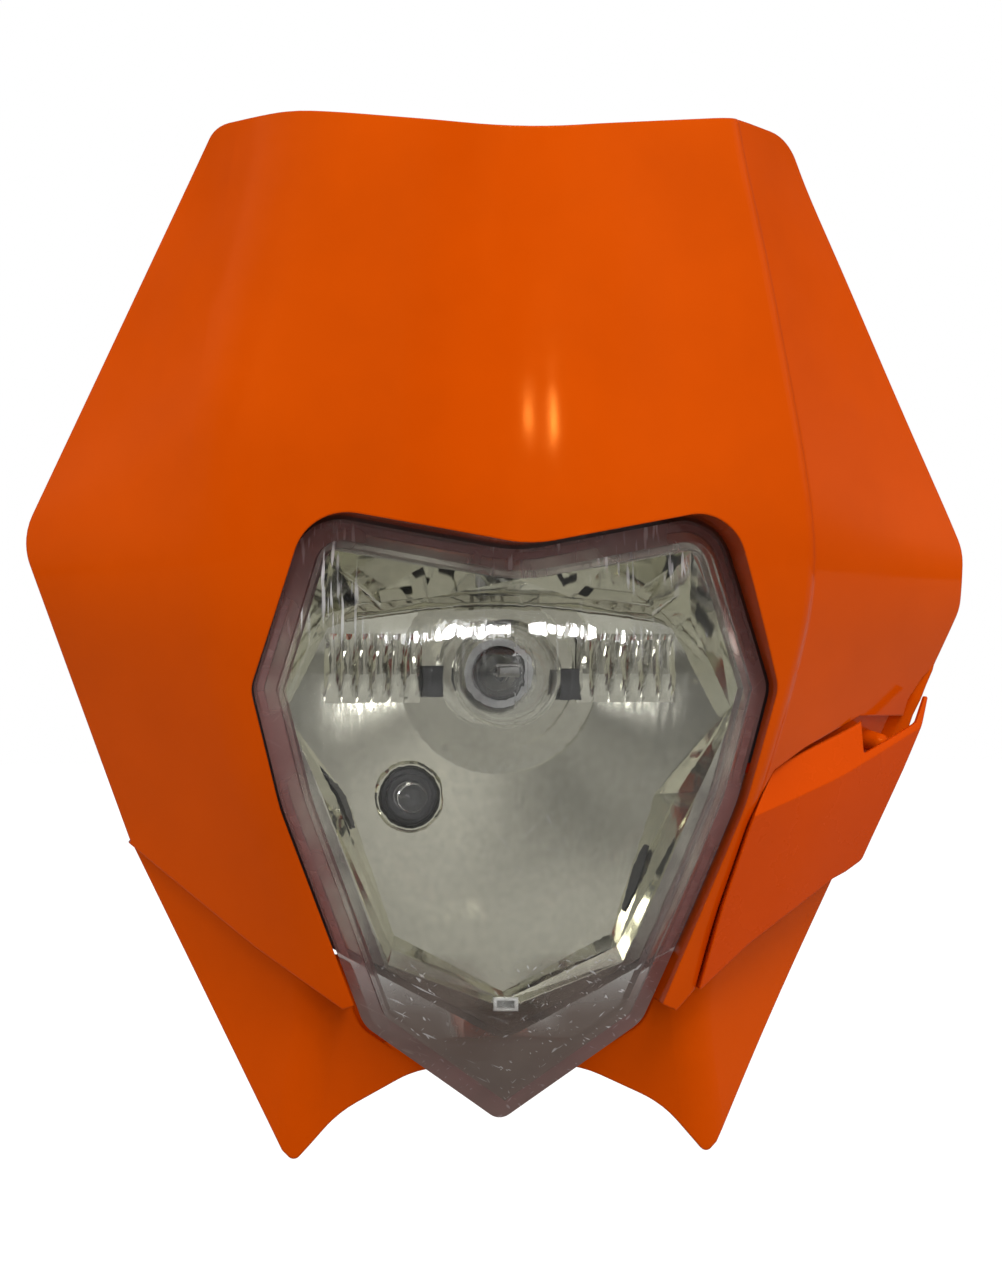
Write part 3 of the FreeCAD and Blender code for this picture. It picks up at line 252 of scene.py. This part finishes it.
# Fades of the lens over its height, and beside its middle, in metres
STREAKS_FADE_IN = (0.118, 0.140)
SCRATCHES_FADE = (0.022, 0.040)
TINT_FADE = (0.0, 0.020)
DARKENING_FADE_MIDDLE = (0.007, 0.020)
DARKENING_FADE_ASIDE = (0.016, 0.036)
ASIDE = (0.004, 0.020)
# Marks in the film: the noise values at which they start and are full, and their strengths
STREAKS_CUT, STREAKS_FULL = (0.60, 0.66), 0.8
STREAKS_PATCHES = (0.47, 0.58)
SCRATCHES_CUT = (0.70, 0.76)
SCRATCHES_PATCHES, SCRATCHES_BETWEEN = (0.46, 0.58), 0.15
SCRATCHES_LOW, SCRATCHES_HIGH = 0.6, 0.06
SCRATCH_LEANS = (0.6, -0.75, 1.1)
UPRIGHT = (1.0, 1.0, 0.05)
HAIRLINE = (1.0, 1.0, 0.012)
WRINKLES = (1.0, 1.0, 0.35)
WRINKLE_STRENGTH, WRINKLE_DEPTH = 0.12, 0.002
# Colours and shares of the lens's shaders
# The glass's colour darkens towards its foot, and a dark haze is mixed over it there
TINTS = [(0.0, (0.30, 0.24, 0.21)), (0.45, (0.40, 0.33, 0.29)), (1.0, (0.97, 0.97, 0.96))]
FILM = (0.85, 0.85, 0.86)
FOOT_DARK = (0.17, 0.13, 0.11)
CLEAR_ROUGH, FILM_ROUGH, WALL_ROUGH = 0.03, 0.35, 0.3
DARKENING_MOST, DARKENING_LEAST = 0.90, 0.65
# How much of the rim's painted reflection and the side walls' painted shade shows among the film's patches
WALL_PATCHES, WALL_SHARES = (0.38, 0.62), (0.20, 0.70)


def lens_marks(s, height, patches):
    """Upright streaks near the top and fine scratches, mostly near the foot."""
    upright = s.grain(*FILM_STREAKS, s.scaled(UPRIGHT))
    streaks = s.combine("MULTIPLY", s.level(upright, *STREAKS_CUT, 0.0, STREAKS_FULL),
                        s.level(patches, *STREAKS_PATCHES), s.level(height, *STREAKS_FADE_IN))
    scratches = [s.level(s.grain(*FILM_SCRATCHES, s.turned(HAIRLINE, lean)), *SCRATCHES_CUT)
                 for lean in SCRATCH_LEANS]
    hairs = s.combine("MULTIPLY", s.combine("MAXIMUM", *scratches),
                      s.level(patches, *SCRATCHES_PATCHES, SCRATCHES_BETWEEN, 1.0),
                      s.level(height, *SCRATCHES_FADE, SCRATCHES_LOW, SCRATCHES_HIGH))
    return s.combine("MAXIMUM", streaks, hairs)


def lens_foot_darkening(s, place, height, patches):
    """The lens darker and hazy towards the chin, reaching higher beside the middle."""
    across = place.outputs["X"]
    aside = s.combine("MAXIMUM", s.level(across, *ASIDE), s.level(across, -ASIDE[1], -ASIDE[0], 1.0, 0.0))
    darkening = s.combine("MAXIMUM", s.level(height, *DARKENING_FADE_MIDDLE, DARKENING_MOST, 0.0),
                      s.combine("MULTIPLY", aside, s.level(height, *DARKENING_FADE_ASIDE, DARKENING_MOST, 0.0)))
    return s.combine("MULTIPLY", darkening, s.level(patches, *COMMON, DARKENING_LEAST, 1.0))


def filmed_lens(name, wall=None):
    """Clear moulding, darker and hazy towards the chin, under a wrinkled and scratched film. A wall colour,
    mixed in partly see-through, is a painted reflection of the orange shell on the rim and painted shade on
    the side walls."""
    s = Shader(name)
    place = s.add("SeparateXYZ", {0: s.coords})
    height = place.outputs["Z"]
    patches = s.grain(*FILM_PATCHES)
    wrinkled = s.bump(s.grain(*FILM_WAVES, s.scaled(WRINKLES)), WRINKLE_STRENGTH, WRINKLE_DEPTH)
    glass = s.principled(s.ramp(s.level(height, *TINT_FADE), TINTS), CLEAR_ROUGH, transmission_weight=1.0,
                         normal=wrinkled)
    glass.inputs["IOR"].default_value = 1.46
    # Darker and hazy towards the chin
    darkened = s.mixed(lens_foot_darkening(s, place, height, patches), glass, s.principled(FOOT_DARK, FILM_ROUGH))
    shader = s.mixed(lens_marks(s, height, patches), darkened, s.principled(FILM, FILM_ROUGH))
    if wall:
        # Painted colour: the orange shell's reflection on the rim, shade on the side walls
        painted_tint = s.principled(wall, WALL_ROUGH)
        painted_tint.inputs["Transmission Weight"].default_value = 0.25
        shader = s.mixed(s.level(patches, *WALL_PATCHES, *WALL_SHARES), shader, painted_tint)
    return s.surface(let_through(s, shader))


WARM = (1.0, 0.34, 0.05)
ORANGE = plastic("orange_plastic", (0.61, 0.066, 0.0), (0.69, 0.077, 0.0), 0.075, 900.0, 0.02, 0.45, WARM)
COVER_ORANGE = plastic("cover_orange_plastic", (0.63, 0.058, 0.0), (0.71, 0.068, 0.0), 0.26, 900.0, 0.05,
                       0.34, WARM)
BLACK = plastic("black_moulding", (0.010, 0.010, 0.011), (0.022, 0.022, 0.024), 0.45, 700.0, 0.25)
RUBBER = plastic("black_rubber", (0.012, 0.012, 0.012), (0.025, 0.025, 0.025), 0.65, 500.0, 0.3)
# The seal's pinkish brown, seen through the lens rim, is a painted reflection of the orange shell.
SEAL_PAINTED_REFLECTION = plastic("seal_painted_reflection", (0.22, 0.10, 0.09), (0.36, 0.20, 0.19), 0.3, 500.0, 0.3)
WHITE = plastic("white_moulding", (0.62, 0.62, 0.60), (0.72, 0.72, 0.70), 0.4, 700.0, 0.2)
MIRROR = metal("metallised", (0.72, 0.71, 0.61), (0.80, 0.79, 0.68), 0.06)
STEEL = metal("zinc_plate", (0.42, 0.42, 0.42), (0.60, 0.60, 0.60), 0.32)
BRASS = metal("brass", (0.50, 0.36, 0.14), (0.70, 0.53, 0.24), 0.30)
WIRE = metal("wire", (0.25, 0.24, 0.23), (0.38, 0.37, 0.35), 0.40)
LENS = filmed_lens("clear_lens")
# The rim's pinkish colour is a painted reflection of the orange shell.
LENS_RIM_PAINTED_REFLECTION = filmed_lens("lens_rim_painted_reflection", (0.30, 0.16, 0.15))
# The side walls' dark violet is painted shade.
LENS_WALL_PAINTED_SHADE = filmed_lens("lens_wall_painted_shade", (0.10, 0.06, 0.08))
GLASS = clear("bulb_glass", (0.99, 0.99, 0.99), 0.0, 1.47)

LOOKS = {
    "mask_shell": ORANGE, "hose_cover": COVER_ORANGE, "upper_inserts": BRASS, "lens": LENS,
    "lens_seal": SEAL_PAINTED_REFLECTION, "lamp_housing": BLACK, "reflector": MIRROR, "reflector_clip": WHITE,
    "swivel_bush_left": RUBBER, "swivel_bush_right": RUBBER, "swivel_screw_left": STEEL,
    "swivel_screw_right": STEEL, "adjuster_washer": STEEL, "adjuster_screw": STEEL,
    "bulb_globe": GLASS, "bulb_stem": GLASS, "bulb_cap": STEEL, "bulb_insulator": BLACK,
    "bulb_contacts": BRASS, "bulb_carrier": MIRROR, "bulb_lock_ring": STEEL, "rubber_boot": RUBBER,
    "breather_cap": RUBBER, "filament_main": WIRE, "filament_dip": WIRE, "filament_wires": WIRE,
    "dip_shield": STEEL, "position_bulb": GLASS, "position_lamp_holder": BLACK,
}
for name, material in LOOKS.items():
    thing = frame["nodes"][name]
    thing.data.materials.clear()
    thing.data.materials.append(material)


# Pieces beside the solids. They are laid out in millimetres from the foot tips: x to the viewer's
# right, height, and reach towards the viewer.
MM = 0.001
MOUNT = Vector((0.0, -21.0, -26.5))
SIDES = ((-1, "left"), (1, "right"))
# Thickness of the sheets
MIRROR_THICK = 0.1
RIB_THICK = 0.2
CUT_OUT_THICK = 0.2
WINDOW_THICK = 0.6
CHEEK_THICK = 1.6
SHELL_THICK = 1.4
REFLECTOR_METAL = ("lamp", MIRROR, "reflector_metal")
HOUSING_BLACK = ("lamp", BLACK, "housing_black")
SHELL_ORANGE = ("mask", ORANGE, "shell_orange")


def in_frame(x, reach, height):
    """The point of the frame at a place from the foot tips."""
    return (Vector((x, -reach, height)) + MOUNT) * MM


def spread(start, end, steps):
    """Values from start to end in equal steps."""
    return [start + (end - start) * step / steps for step in range(steps + 1)]


def line(start, end, steps):
    """Places along the straight line between two."""
    return list(zip(*(spread(a, b, steps) for a, b in zip(start, end))))


def solid_sheet(name, rows, thick, body, material, slot_name, ring=False):
    """A sheet through rows of points, given a thickness behind it, as a piece of its own. In a ring
    the last row joins the first."""
    wide = len(rows[0])
    points = [point for row in rows for point in row]
    count = len(points)
    points += [point + Vector((0.0, thick * MM, 0.0)) for point in points]
    faces = []
    for level in range(len(rows) if ring else len(rows) - 1):
        for across in range(wide - 1):
            first = level * wide + across
            above = (level + 1) % len(rows) * wide + across
            face = (first, first + 1, above + 1, above)
            faces.append(face)
            faces.append(tuple(index + count for index in reversed(face)))
    if ring:
        borders = [list(range(wide - 1, count, wide)), list(range(count - wide, -1, -wide))]
    else:
        borders = [[*range(wide), *range(2 * wide - 1, count, wide),
                    *range(count - 2, count - wide - 1, -1), *range(count - 2 * wide, 0, -wide)]]
    for border in borders:
        for here, after in zip(border, border[1:] + border[:1]):
            faces.append((after, here, here + count, after + count))
    mesh = bpy.data.meshes.new(name)
    mesh.from_pydata(points, [], faces)
    mesh.materials.append(material)
    thing = link(name, mesh)
    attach(thing, body)


# Bowl of the reflector: distance from the bulb's axis, and reach
BULB_HEIGHT = 145.0
BOWL = [(0.0, -9.5), (31.0, -8.0), (50.0, -4.5), (70.0, -1.0), (90.0, 1.5), (110.0, 3.0)]


def bowl_reach(x, height):
    radius = math.hypot(x, height - BULB_HEIGHT)
    for (inner, low), (outer, high) in zip(BOWL, BOWL[1:]):
        if radius <= outer:
            return low + (high - low) * (radius - inner) / (outer - inner)
    return BOWL[-1][1]


FLUTE_COUNT = 6
FLUTE_PITCH = 5.0
FLUTE_DEPTH = 1.1
FLUTE_STEPS = 8
FLUTE_ROWS = 12
FLUTES_START = 24.0
FLUTES_LOW, FLUTES_HIGH = 136.0, 157.0
FLUTES_PROUD = 0.15
FLUTES_FADE = 0.6


def flutes(side, name):
    """Upright flutes of the bowl beside the bulb, fading out above and below."""
    rows = []
    for part in spread(0.0, 1.0, FLUTE_ROWS):
        height = FLUTES_LOW + (FLUTES_HIGH - FLUTES_LOW) * part
        fade = math.sin(math.pi * part) ** FLUTES_FADE
        row = []
        for across in range(FLUTE_COUNT * FLUTE_STEPS + 1):
            x = side * (FLUTES_START + across * FLUTE_PITCH / FLUTE_STEPS)
            wave = abs(math.sin(math.pi * across / FLUTE_STEPS))
            row.append(in_frame(x, bowl_reach(x, height) + FLUTES_PROUD + FLUTE_DEPTH * fade * wave, height))
        rows.append(row[::side])
    solid_sheet("flutes_" + name, rows, MIRROR_THICK, *REFLECTOR_METAL)


for side, name in SIDES:
    flutes(side, name)

# Side facets of the reflector, crease and bowl corners: x, height and reach
SIDE_FACETS = [
    ((68.2, 134.8, 11.0), (66.8, 131.8, -1.6)),
    ((52.0, 108.8, 9.0), (47.2, 107.8, -3.0)),
    ((34.4, 62.2, 5.0), (33.2, 66.0, 0.9)),
]
FACETS_PROUD = 0.5
CUT_OUT_HALF = 0.32
CUT_OUT_ENDS = (0.12, 0.88)
CUT_OUT_ROWS, CUT_OUT_STEPS = 8, 6


def on_facets(side, along, across):
    """A place on the side facets: along from the top row to the lowest, across from crease to bowl."""
    row = min(int(along), len(SIDE_FACETS) - 2)
    part = along - row
    crease, bowl = (Vector(a).lerp(Vector(b), part) for a, b in zip(SIDE_FACETS[row], SIDE_FACETS[row + 1]))
    x, height, reach = crease.lerp(bowl, across)
    return in_frame(side * (x - FACETS_PROUD), reach + FACETS_PROUD, height)


def cut_out(name, side, start, end):
    """A dark cut-out that follows the side facets."""
    rows = []
    for along, part in zip(spread(start, end, CUT_OUT_ROWS), spread(*CUT_OUT_ENDS, CUT_OUT_ROWS)):
        half = CUT_OUT_HALF * math.sin(math.pi * part)
        row = [on_facets(side, along, across) for across in spread(0.5 - half, 0.5 + half, CUT_OUT_STEPS)]
        rows.append(row)
    solid_sheet(name, rows, CUT_OUT_THICK, *HOUSING_BLACK)


cut_out("cut_out_left", -1, 0.62, 1.22)
cut_out("cut_out_right", 1, 1.35, 1.80)

WINDOW_SIZE = (6.4, 9.5)
WINDOW_REACH = -7.6
WINDOW_BULGE = 0.5
WINDOW_STEPS = 4


def catch_window(name, x, height):
    """A dark opening beside the bulb's seat."""
    parts = spread(-0.5, 0.5, WINDOW_STEPS)
    rows = [[in_frame(x + WINDOW_SIZE[0] * across, WINDOW_REACH + WINDOW_BULGE * math.cos(math.pi * across),
                      height + WINDOW_SIZE[1] * up) for across in parts] for up in parts]
    solid_sheet(name, rows, WINDOW_THICK, *HOUSING_BLACK)


catch_window("catch_window_left", -20.5, 142.5)
catch_window("catch_window_right", 22.0, 141.5)

HOLE_MIDDLE = (-28.0, 107.5)
RIM_START, RIM_END = 8.6, 10.9
RIM_PROUD = 0.1
RIM_HIGH = 1.1
RIM_ROWS, RIM_STEPS = 48, 5


def position_lamp_rim():
    """The bright raised rim round the position lamp's hole."""
    rows = []
    for way in spread(0.0, 2 * math.pi, RIM_ROWS)[:-1]:
        row = []
        for out, part in zip(spread(RIM_START, RIM_END, RIM_STEPS), spread(0.0, 1.0, RIM_STEPS)):
            x, height = HOLE_MIDDLE[0] + out * math.cos(way), HOLE_MIDDLE[1] + out * math.sin(way)
            reach = bowl_reach(x, height) + RIM_PROUD + RIM_HIGH * math.sin(math.pi * part)
            row.append(in_frame(x, reach, height))
        rows.append(row)
    solid_sheet("position_lamp_rim", rows, MIRROR_THICK, *REFLECTOR_METAL, ring=True)


position_lamp_rim()

# The wing's edge from its foot upwards: x, height and reach of its outer and of its inner line
CHEEK_EDGE = [
    ((129.5, 124.5, -13.5), (120.0, 123.5, -12.5)), ((131.8, 131.5, -13.0), (121.0, 130.0, -12.0)),
    ((134.2, 136.5, -12.5), (122.0, 135.5, -11.5)), ((136.0, 141.0, -12.5), (123.0, 140.0, -11.0)),
    ((138.0, 145.5, -12.5), (125.0, 145.0, -10.5)), ((139.5, 151.0, -12.5), (128.0, 151.0, -10.0)),
]
CHEEK_STEPS = 6


def cheek_edge():
    """The wing's edge beside the peg, down to the hose cover."""
    rows = [[in_frame(x, reach, height) for x, height, reach in line(inner, outer, CHEEK_STEPS)]
            for outer, inner in CHEEK_EDGE]
    solid_sheet("cheek_edge", rows, CHEEK_THICK, *SHELL_ORANGE)


cheek_edge()

# Face of the lens: height, and reach in the middle and at the side
LENS_ROWS = [
    (-5.0, -11.0, -18.0), (20.0, -1.0, -9.0), (50.0, 12.5, 3.0), (80.0, 23.5, 12.5),
    (110.0, 31.0, 19.5), (140.0, 35.0, 23.0), (175.0, 34.5, 21.5), (205.0, 33.0, 19.0),
]
LENS_SIDE = 80.0
LENS_THICK = 2.4


def lens_reach(x, height):
    for (low, *below), (high, *above) in zip(LENS_ROWS, LENS_ROWS[1:]):
        if height <= high or high == LENS_ROWS[-1][0]:
            part = (height - low) / (high - low)
            middle, side = (a + (b - a) * part for a, b in zip(below, above))
            return middle + (side - middle) * min(abs(x) / LENS_SIDE, 1.0)


# The opening's return beside the lamp's flange
FLANGE_X, FLANGE_HEIGHT, FLANGE_SLOPE = 68.5, 106.0, 0.2514
FLANGE_GAP = 0.9
RETURN_LOW, RETURN_HIGH = 113.5, 120.5
RETURN_WIDTH = 5.0
RETURN_BEHIND = 8.0
RETURN_FALL = 1.8
RETURN_AT = 72.0
RETURN_STEPS = 3


def return_corner(side, name):
    """The opening's return where it steps back behind the lamp's flange."""
    rows = []
    for height in spread(RETURN_LOW, RETURN_HIGH, RETURN_STEPS):
        inner = FLANGE_X + (height - FLANGE_HEIGHT) * FLANGE_SLOPE + FLANGE_GAP
        reach = lens_reach(RETURN_AT, height) - RETURN_BEHIND
        across = line((inner, reach), (inner + RETURN_WIDTH, reach - RETURN_FALL), RETURN_STEPS)
        row = [in_frame(side * x, back, height) for x, back in across]
        rows.append(row[::side])
    solid_sheet("return_corner_" + name, rows, SHELL_THICK, *SHELL_ORANGE)


for side, name in SIDES:
    return_corner(side, name)

# Recessed foot: height, x of its peak, and reach at the peak and in the middle
FOOT_ROWS = [(25.0, 60.0, 4.0, -20.0), (50.0, 58.0, 8.5, -16.0), (75.0, 63.0, 14.5, -8.0)]


def foot_reach(x, height):
    """Reach of the recessed foot between the middle and its peak."""
    for (low, *below), (high, *above) in zip(FOOT_ROWS, FOOT_ROWS[1:]):
        if height <= high:
            part = (height - low) / (high - low)
            peak_x, peak, middle = (a + (b - a) * part for a, b in zip(below, above))
            return middle + (peak - middle) * abs(x) / peak_x


# The foot's inner edge beside the chin, which bends at one height, and the lamp's V over it
EDGE_X, EDGE_BEND = 42.5, 38.5
EDGE_SLOPE_ABOVE, EDGE_SLOPE_BELOW = 0.385, 1.37
LIP_LOW, LIP_HIGH = 31.0, 60.3
LIP_INWARDS, LIP_OUTWARDS = 3.5, 2.8
LIP_BEHIND = 2.9
LIP_CLEAR = 1.2
LIP_ROWS, LIP_STEPS = 13, 6
VEE_X, VEE_START, VEE_RISE = 0.5, 34.0, 0.547


def foot_lip(side, name):
    """The foot's inner edge, carried on behind the lens rim beside the chin."""
    rows = []
    for height in spread(LIP_LOW, LIP_HIGH, LIP_ROWS):
        rise, fall = max(height - EDGE_BEND, 0.0), max(EDGE_BEND - height, 0.0)
        edge = EDGE_X + rise * EDGE_SLOPE_ABOVE - fall * EDGE_SLOPE_BELOW
        below_vee = VEE_X + (height + LIP_CLEAR - VEE_START) / VEE_RISE
        inner = max(edge - LIP_INWARDS, below_vee)
        reach = foot_reach(edge, height) - LIP_BEHIND
        row = [in_frame(side * x, reach, height) for x in spread(inner, edge + LIP_OUTWARDS, LIP_STEPS)]
        rows.append(row[::side])
    solid_sheet("foot_lip_" + name, rows, SHELL_THICK, *SHELL_ORANGE)


for side, name in SIDES:
    foot_lip(side, name)


RIB_STEPS = 6


def rib(name, spine, widths, high):
    """A rounded rib of the reflector along a line of (x, reach, height) points."""
    rows = []
    for (x, reach, height), wide in zip(spine, widths):
        rows.append([in_frame(x, reach + high * math.cos(math.pi * across), height + wide * across)
                     for across in spread(-0.5, 0.5, RIB_STEPS)])
    solid_sheet(name, rows, RIB_THICK, *REFLECTOR_METAL)


# Brow of the reflector: two arched ribs and the spikes at their ends
BROW_HALF = 47.0
BROW_TOP, BROW_DROP = 166.2, 4.8
BROW_REACH, BROW_SWEEP = -9.3, 4.6
BROW_STEPS = 40
BROW_WIDTH, BROW_PROUD = 1.8, 0.9
UPPER_REACH, UPPER_HEIGHT, UPPER_RISE = 6.2, 2.9, 1.2
UPPER_WIDTH, UPPER_PROUD = 1.2, 0.7
SPIKE_POINT, SPIKE_SPREAD, SPIKE_PROUD = 0.3, 3.6, 1.2
SPIKE_STEPS = 12
SPIKES = (("spike_left", (-52.0, 15.0, 176.5), (-37.5, 4.0, 166.2), (0.0, 1.0)),
          ("spike_right", (45.0, 4.5, 163.6), (57.5, 14.0, 173.0), (1.0, 0.0)))


def brow():
    """The two ribs, one above the other, and the spikes."""
    arch, upper = [], []
    for x in spread(-BROW_HALF, BROW_HALF, BROW_STEPS):
        out = abs(x) / BROW_HALF
        reach, height = BROW_REACH + BROW_SWEEP * out ** 1.6, BROW_TOP - BROW_DROP * out ** 1.7
        arch.append((x, reach, height))
        upper.append((x, reach + UPPER_REACH, height + UPPER_HEIGHT + UPPER_RISE * out))
    rib("brow_rib", arch, [BROW_WIDTH] * len(arch), BROW_PROUD)
    rib("brow_rib_upper", upper, [UPPER_WIDTH] * len(upper), UPPER_PROUD)
    for name, start, end, fullness in SPIKES:
        widths = [SPIKE_POINT + SPIKE_SPREAD * part for part in spread(*fullness, SPIKE_STEPS)]
        rib(name, line(start, end, SPIKE_STEPS), widths, SPIKE_PROUD)


brow()

# The lens's faces: how far side walls turn from the viewer, and bands of its rim in millimetres
SIDEWAYS = 0.55
WALL_PROUD = 0.5
RIM_BAND = 1.0


def lens_moulding():
    """The lens, with a painted reflection of the orange shell on its rim and painted shade on its side
    walls.
    """
    mesh = frame["nodes"]["lens"].data.copy()
    mesh.name = "lens_moulding"
    mesh.materials.clear()
    for material in (LENS, LENS_RIM_PAINTED_REFLECTION, LENS_WALL_PAINTED_SHADE):
        mesh.materials.append(material)
    for face in mesh.polygons:
        place = face.center / MM - MOUNT
        proud = -place.y - lens_reach(place.x, place.z)
        if abs(face.normal.y) < SIDEWAYS:
            face.material_index = 2 if proud > WALL_PROUD else 1
        else:
            face.material_index = 1 if min(abs(proud), abs(proud + LENS_THICK)) < RIM_BAND else 0
    thing = link("lens_moulding", mesh)
    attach(thing, "lamp")
    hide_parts("lens")


lens_moulding()


def grey(level):
    return (level, level, level)


# Floor and world. Camera rays see white; mirror rays see a grey room in front and dark behind.
WHITE_GROUND = grey(1.0)
ROOM_DARK = (0.06, 0.058, 0.055)
ROOM_LOW = (0.26, 0.255, 0.24)
ROOM_HIGH = (0.75, 0.74, 0.71)
ROOM_REAR = grey(0.05)
LIGHT_LOW = grey(0.17)
LIGHT_HIGH = grey(1.42)
ROOM_CLUTTER = (2.2, 1.5, 0.5)
CLUTTER_EDGES = (0.38, 0.62)
REAR_EDGES = (-0.1, 0.35)
HEIGHT_EDGES = (-0.3, 0.8)
FLOOR_HALF = 3.0
FLOOR_BOUNCE = (0.27, 0.27, 0.26)
FLOOR_SEEN = grey(0.85)
FLOOR_ROUGH = 0.8
FLOOR_GLOW = 1.14
GLOW_SHARE = 0.85


def floor():
    """A pale floor that keeps the shadow for the camera and gives little colour to the mask."""
    height = cad_box[0].z
    corners = [(x * FLOOR_HALF, y * FLOOR_HALF, height) for x, y in ((-1, -1), (1, -1), (1, 1), (-1, 1))]
    mesh = bpy.data.meshes.new("floor")
    mesh.from_pydata(corners, [], [(0, 1, 2, 3)])
    s = Shader("pale_floor")
    seen = s.add("LightPath").outputs["Is Camera Ray"]
    pale = s.principled(s.ramp(seen, [(0.0, FLOOR_BOUNCE), (1.0, FLOOR_SEEN)]), FLOOR_ROUGH)
    glow = s.add("Emission", {"Strength": FLOOR_GLOW})
    mesh.materials.append(s.surface(s.mixed(s.combine("MULTIPLY", seen, GLOW_SHARE), pale, glow)))
    thing = link("floor", mesh)


def world():
    """Soft studio light from all round, with a white ground behind the mask and a grey room before it."""
    scene = bpy.context.scene
    scene.world = bpy.data.worlds.new("world")
    scene.world.use_nodes = True
    w = Nodes(scene.world.node_tree)
    way = w.add("TexCoord").outputs["Generated"]
    parts = w.add("SeparateXYZ", {0: way})
    ray = w.add("LightPath")

    def blend(fac, first, second):
        return w.add("Mix", {0: fac, 6: first, 7: second}, data_type="RGBA").outputs[2]

    def smooth(value, edges):
        return w.level(value, *edges, interpolation_type="SMOOTHSTEP")

    behind = smooth(parts.outputs["Y"], REAR_EDGES)
    above = smooth(parts.outputs["Z"], HEIGHT_EDGES)
    lively = smooth(w.noise(way, *ROOM_CLUTTER), CLUTTER_EDGES)
    room = blend(lively, blend(above, ROOM_DARK, ROOM_LOW), blend(above, ROOM_LOW, ROOM_HIGH))
    rear = blend(ray.outputs["Is Transmission Ray"], ROOM_REAR, WHITE_GROUND)
    mirrored = w.combine("MAXIMUM", ray.outputs["Is Glossy Ray"], ray.outputs["Is Transmission Ray"])
    soft = blend(mirrored, blend(above, LIGHT_LOW, LIGHT_HIGH), blend(behind, room, rear))
    ground = w.add("Background", {"Color": blend(ray.outputs["Is Camera Ray"], soft, WHITE_GROUND)})
    w.add("OutputWorld", {"Surface": ground.outputs[0]})


def lamp(name, place, aim, size, power):
    data = bpy.data.lights.new(name, "AREA")
    data.shape = "RECTANGLE"
    data.size, data.size_y = size
    data.energy = power
    stand(link(name, data), place, Vector(aim) - Vector(place))


# Lamps: broad ones for the whole, small ones for the lights on the nose and beside it
FACE = (0.0, -0.05, 0.15)
NOSE = (0.0, -0.087, 0.188)
RIDGE = (0.0, -0.065, 0.140)
NOSE_LAMPS = ((0.20, 0.665), (0.42, 0.685), (0.42, 0.645))
NOSE_LAMPS_Y = -1.46
NOSE_LAMPS_SIZE = (0.045, 0.009)
RIDGE_TURNS = (-11.5, 26.5)
RIDGE_DISTANCE = 1.4
RIDGE_LAMPS_Z = 0.19
RIDGE_LAMPS_SIZE = (0.05, 0.045)


def lamps():
    lamp("soft_key", (0.35, -1.1, 1.4), FACE, (0.6, 0.6), 7.0)
    for number, (across, up) in enumerate(NOSE_LAMPS):
        lamp(f"ceiling_{number}", (across, NOSE_LAMPS_Y, up), NOSE, NOSE_LAMPS_SIZE, 0.36)
    for number, turn in enumerate(RIDGE_TURNS):
        way = math.radians(turn)
        place = (RIDGE[0] + RIDGE_DISTANCE * math.sin(way), RIDGE[1] - RIDGE_DISTANCE * math.cos(way),
                 RIDGE_LAMPS_Z)
        lamp(f"low_{number}", place, RIDGE, RIDGE_LAMPS_SIZE, 0.5)
    lamp("rear", (0.2, 0.9, 0.9), FACE, (0.9, 0.6), 4.0)


floor()
world()
lamps()
bpy.context.scene.view_settings.view_transform = "Standard"
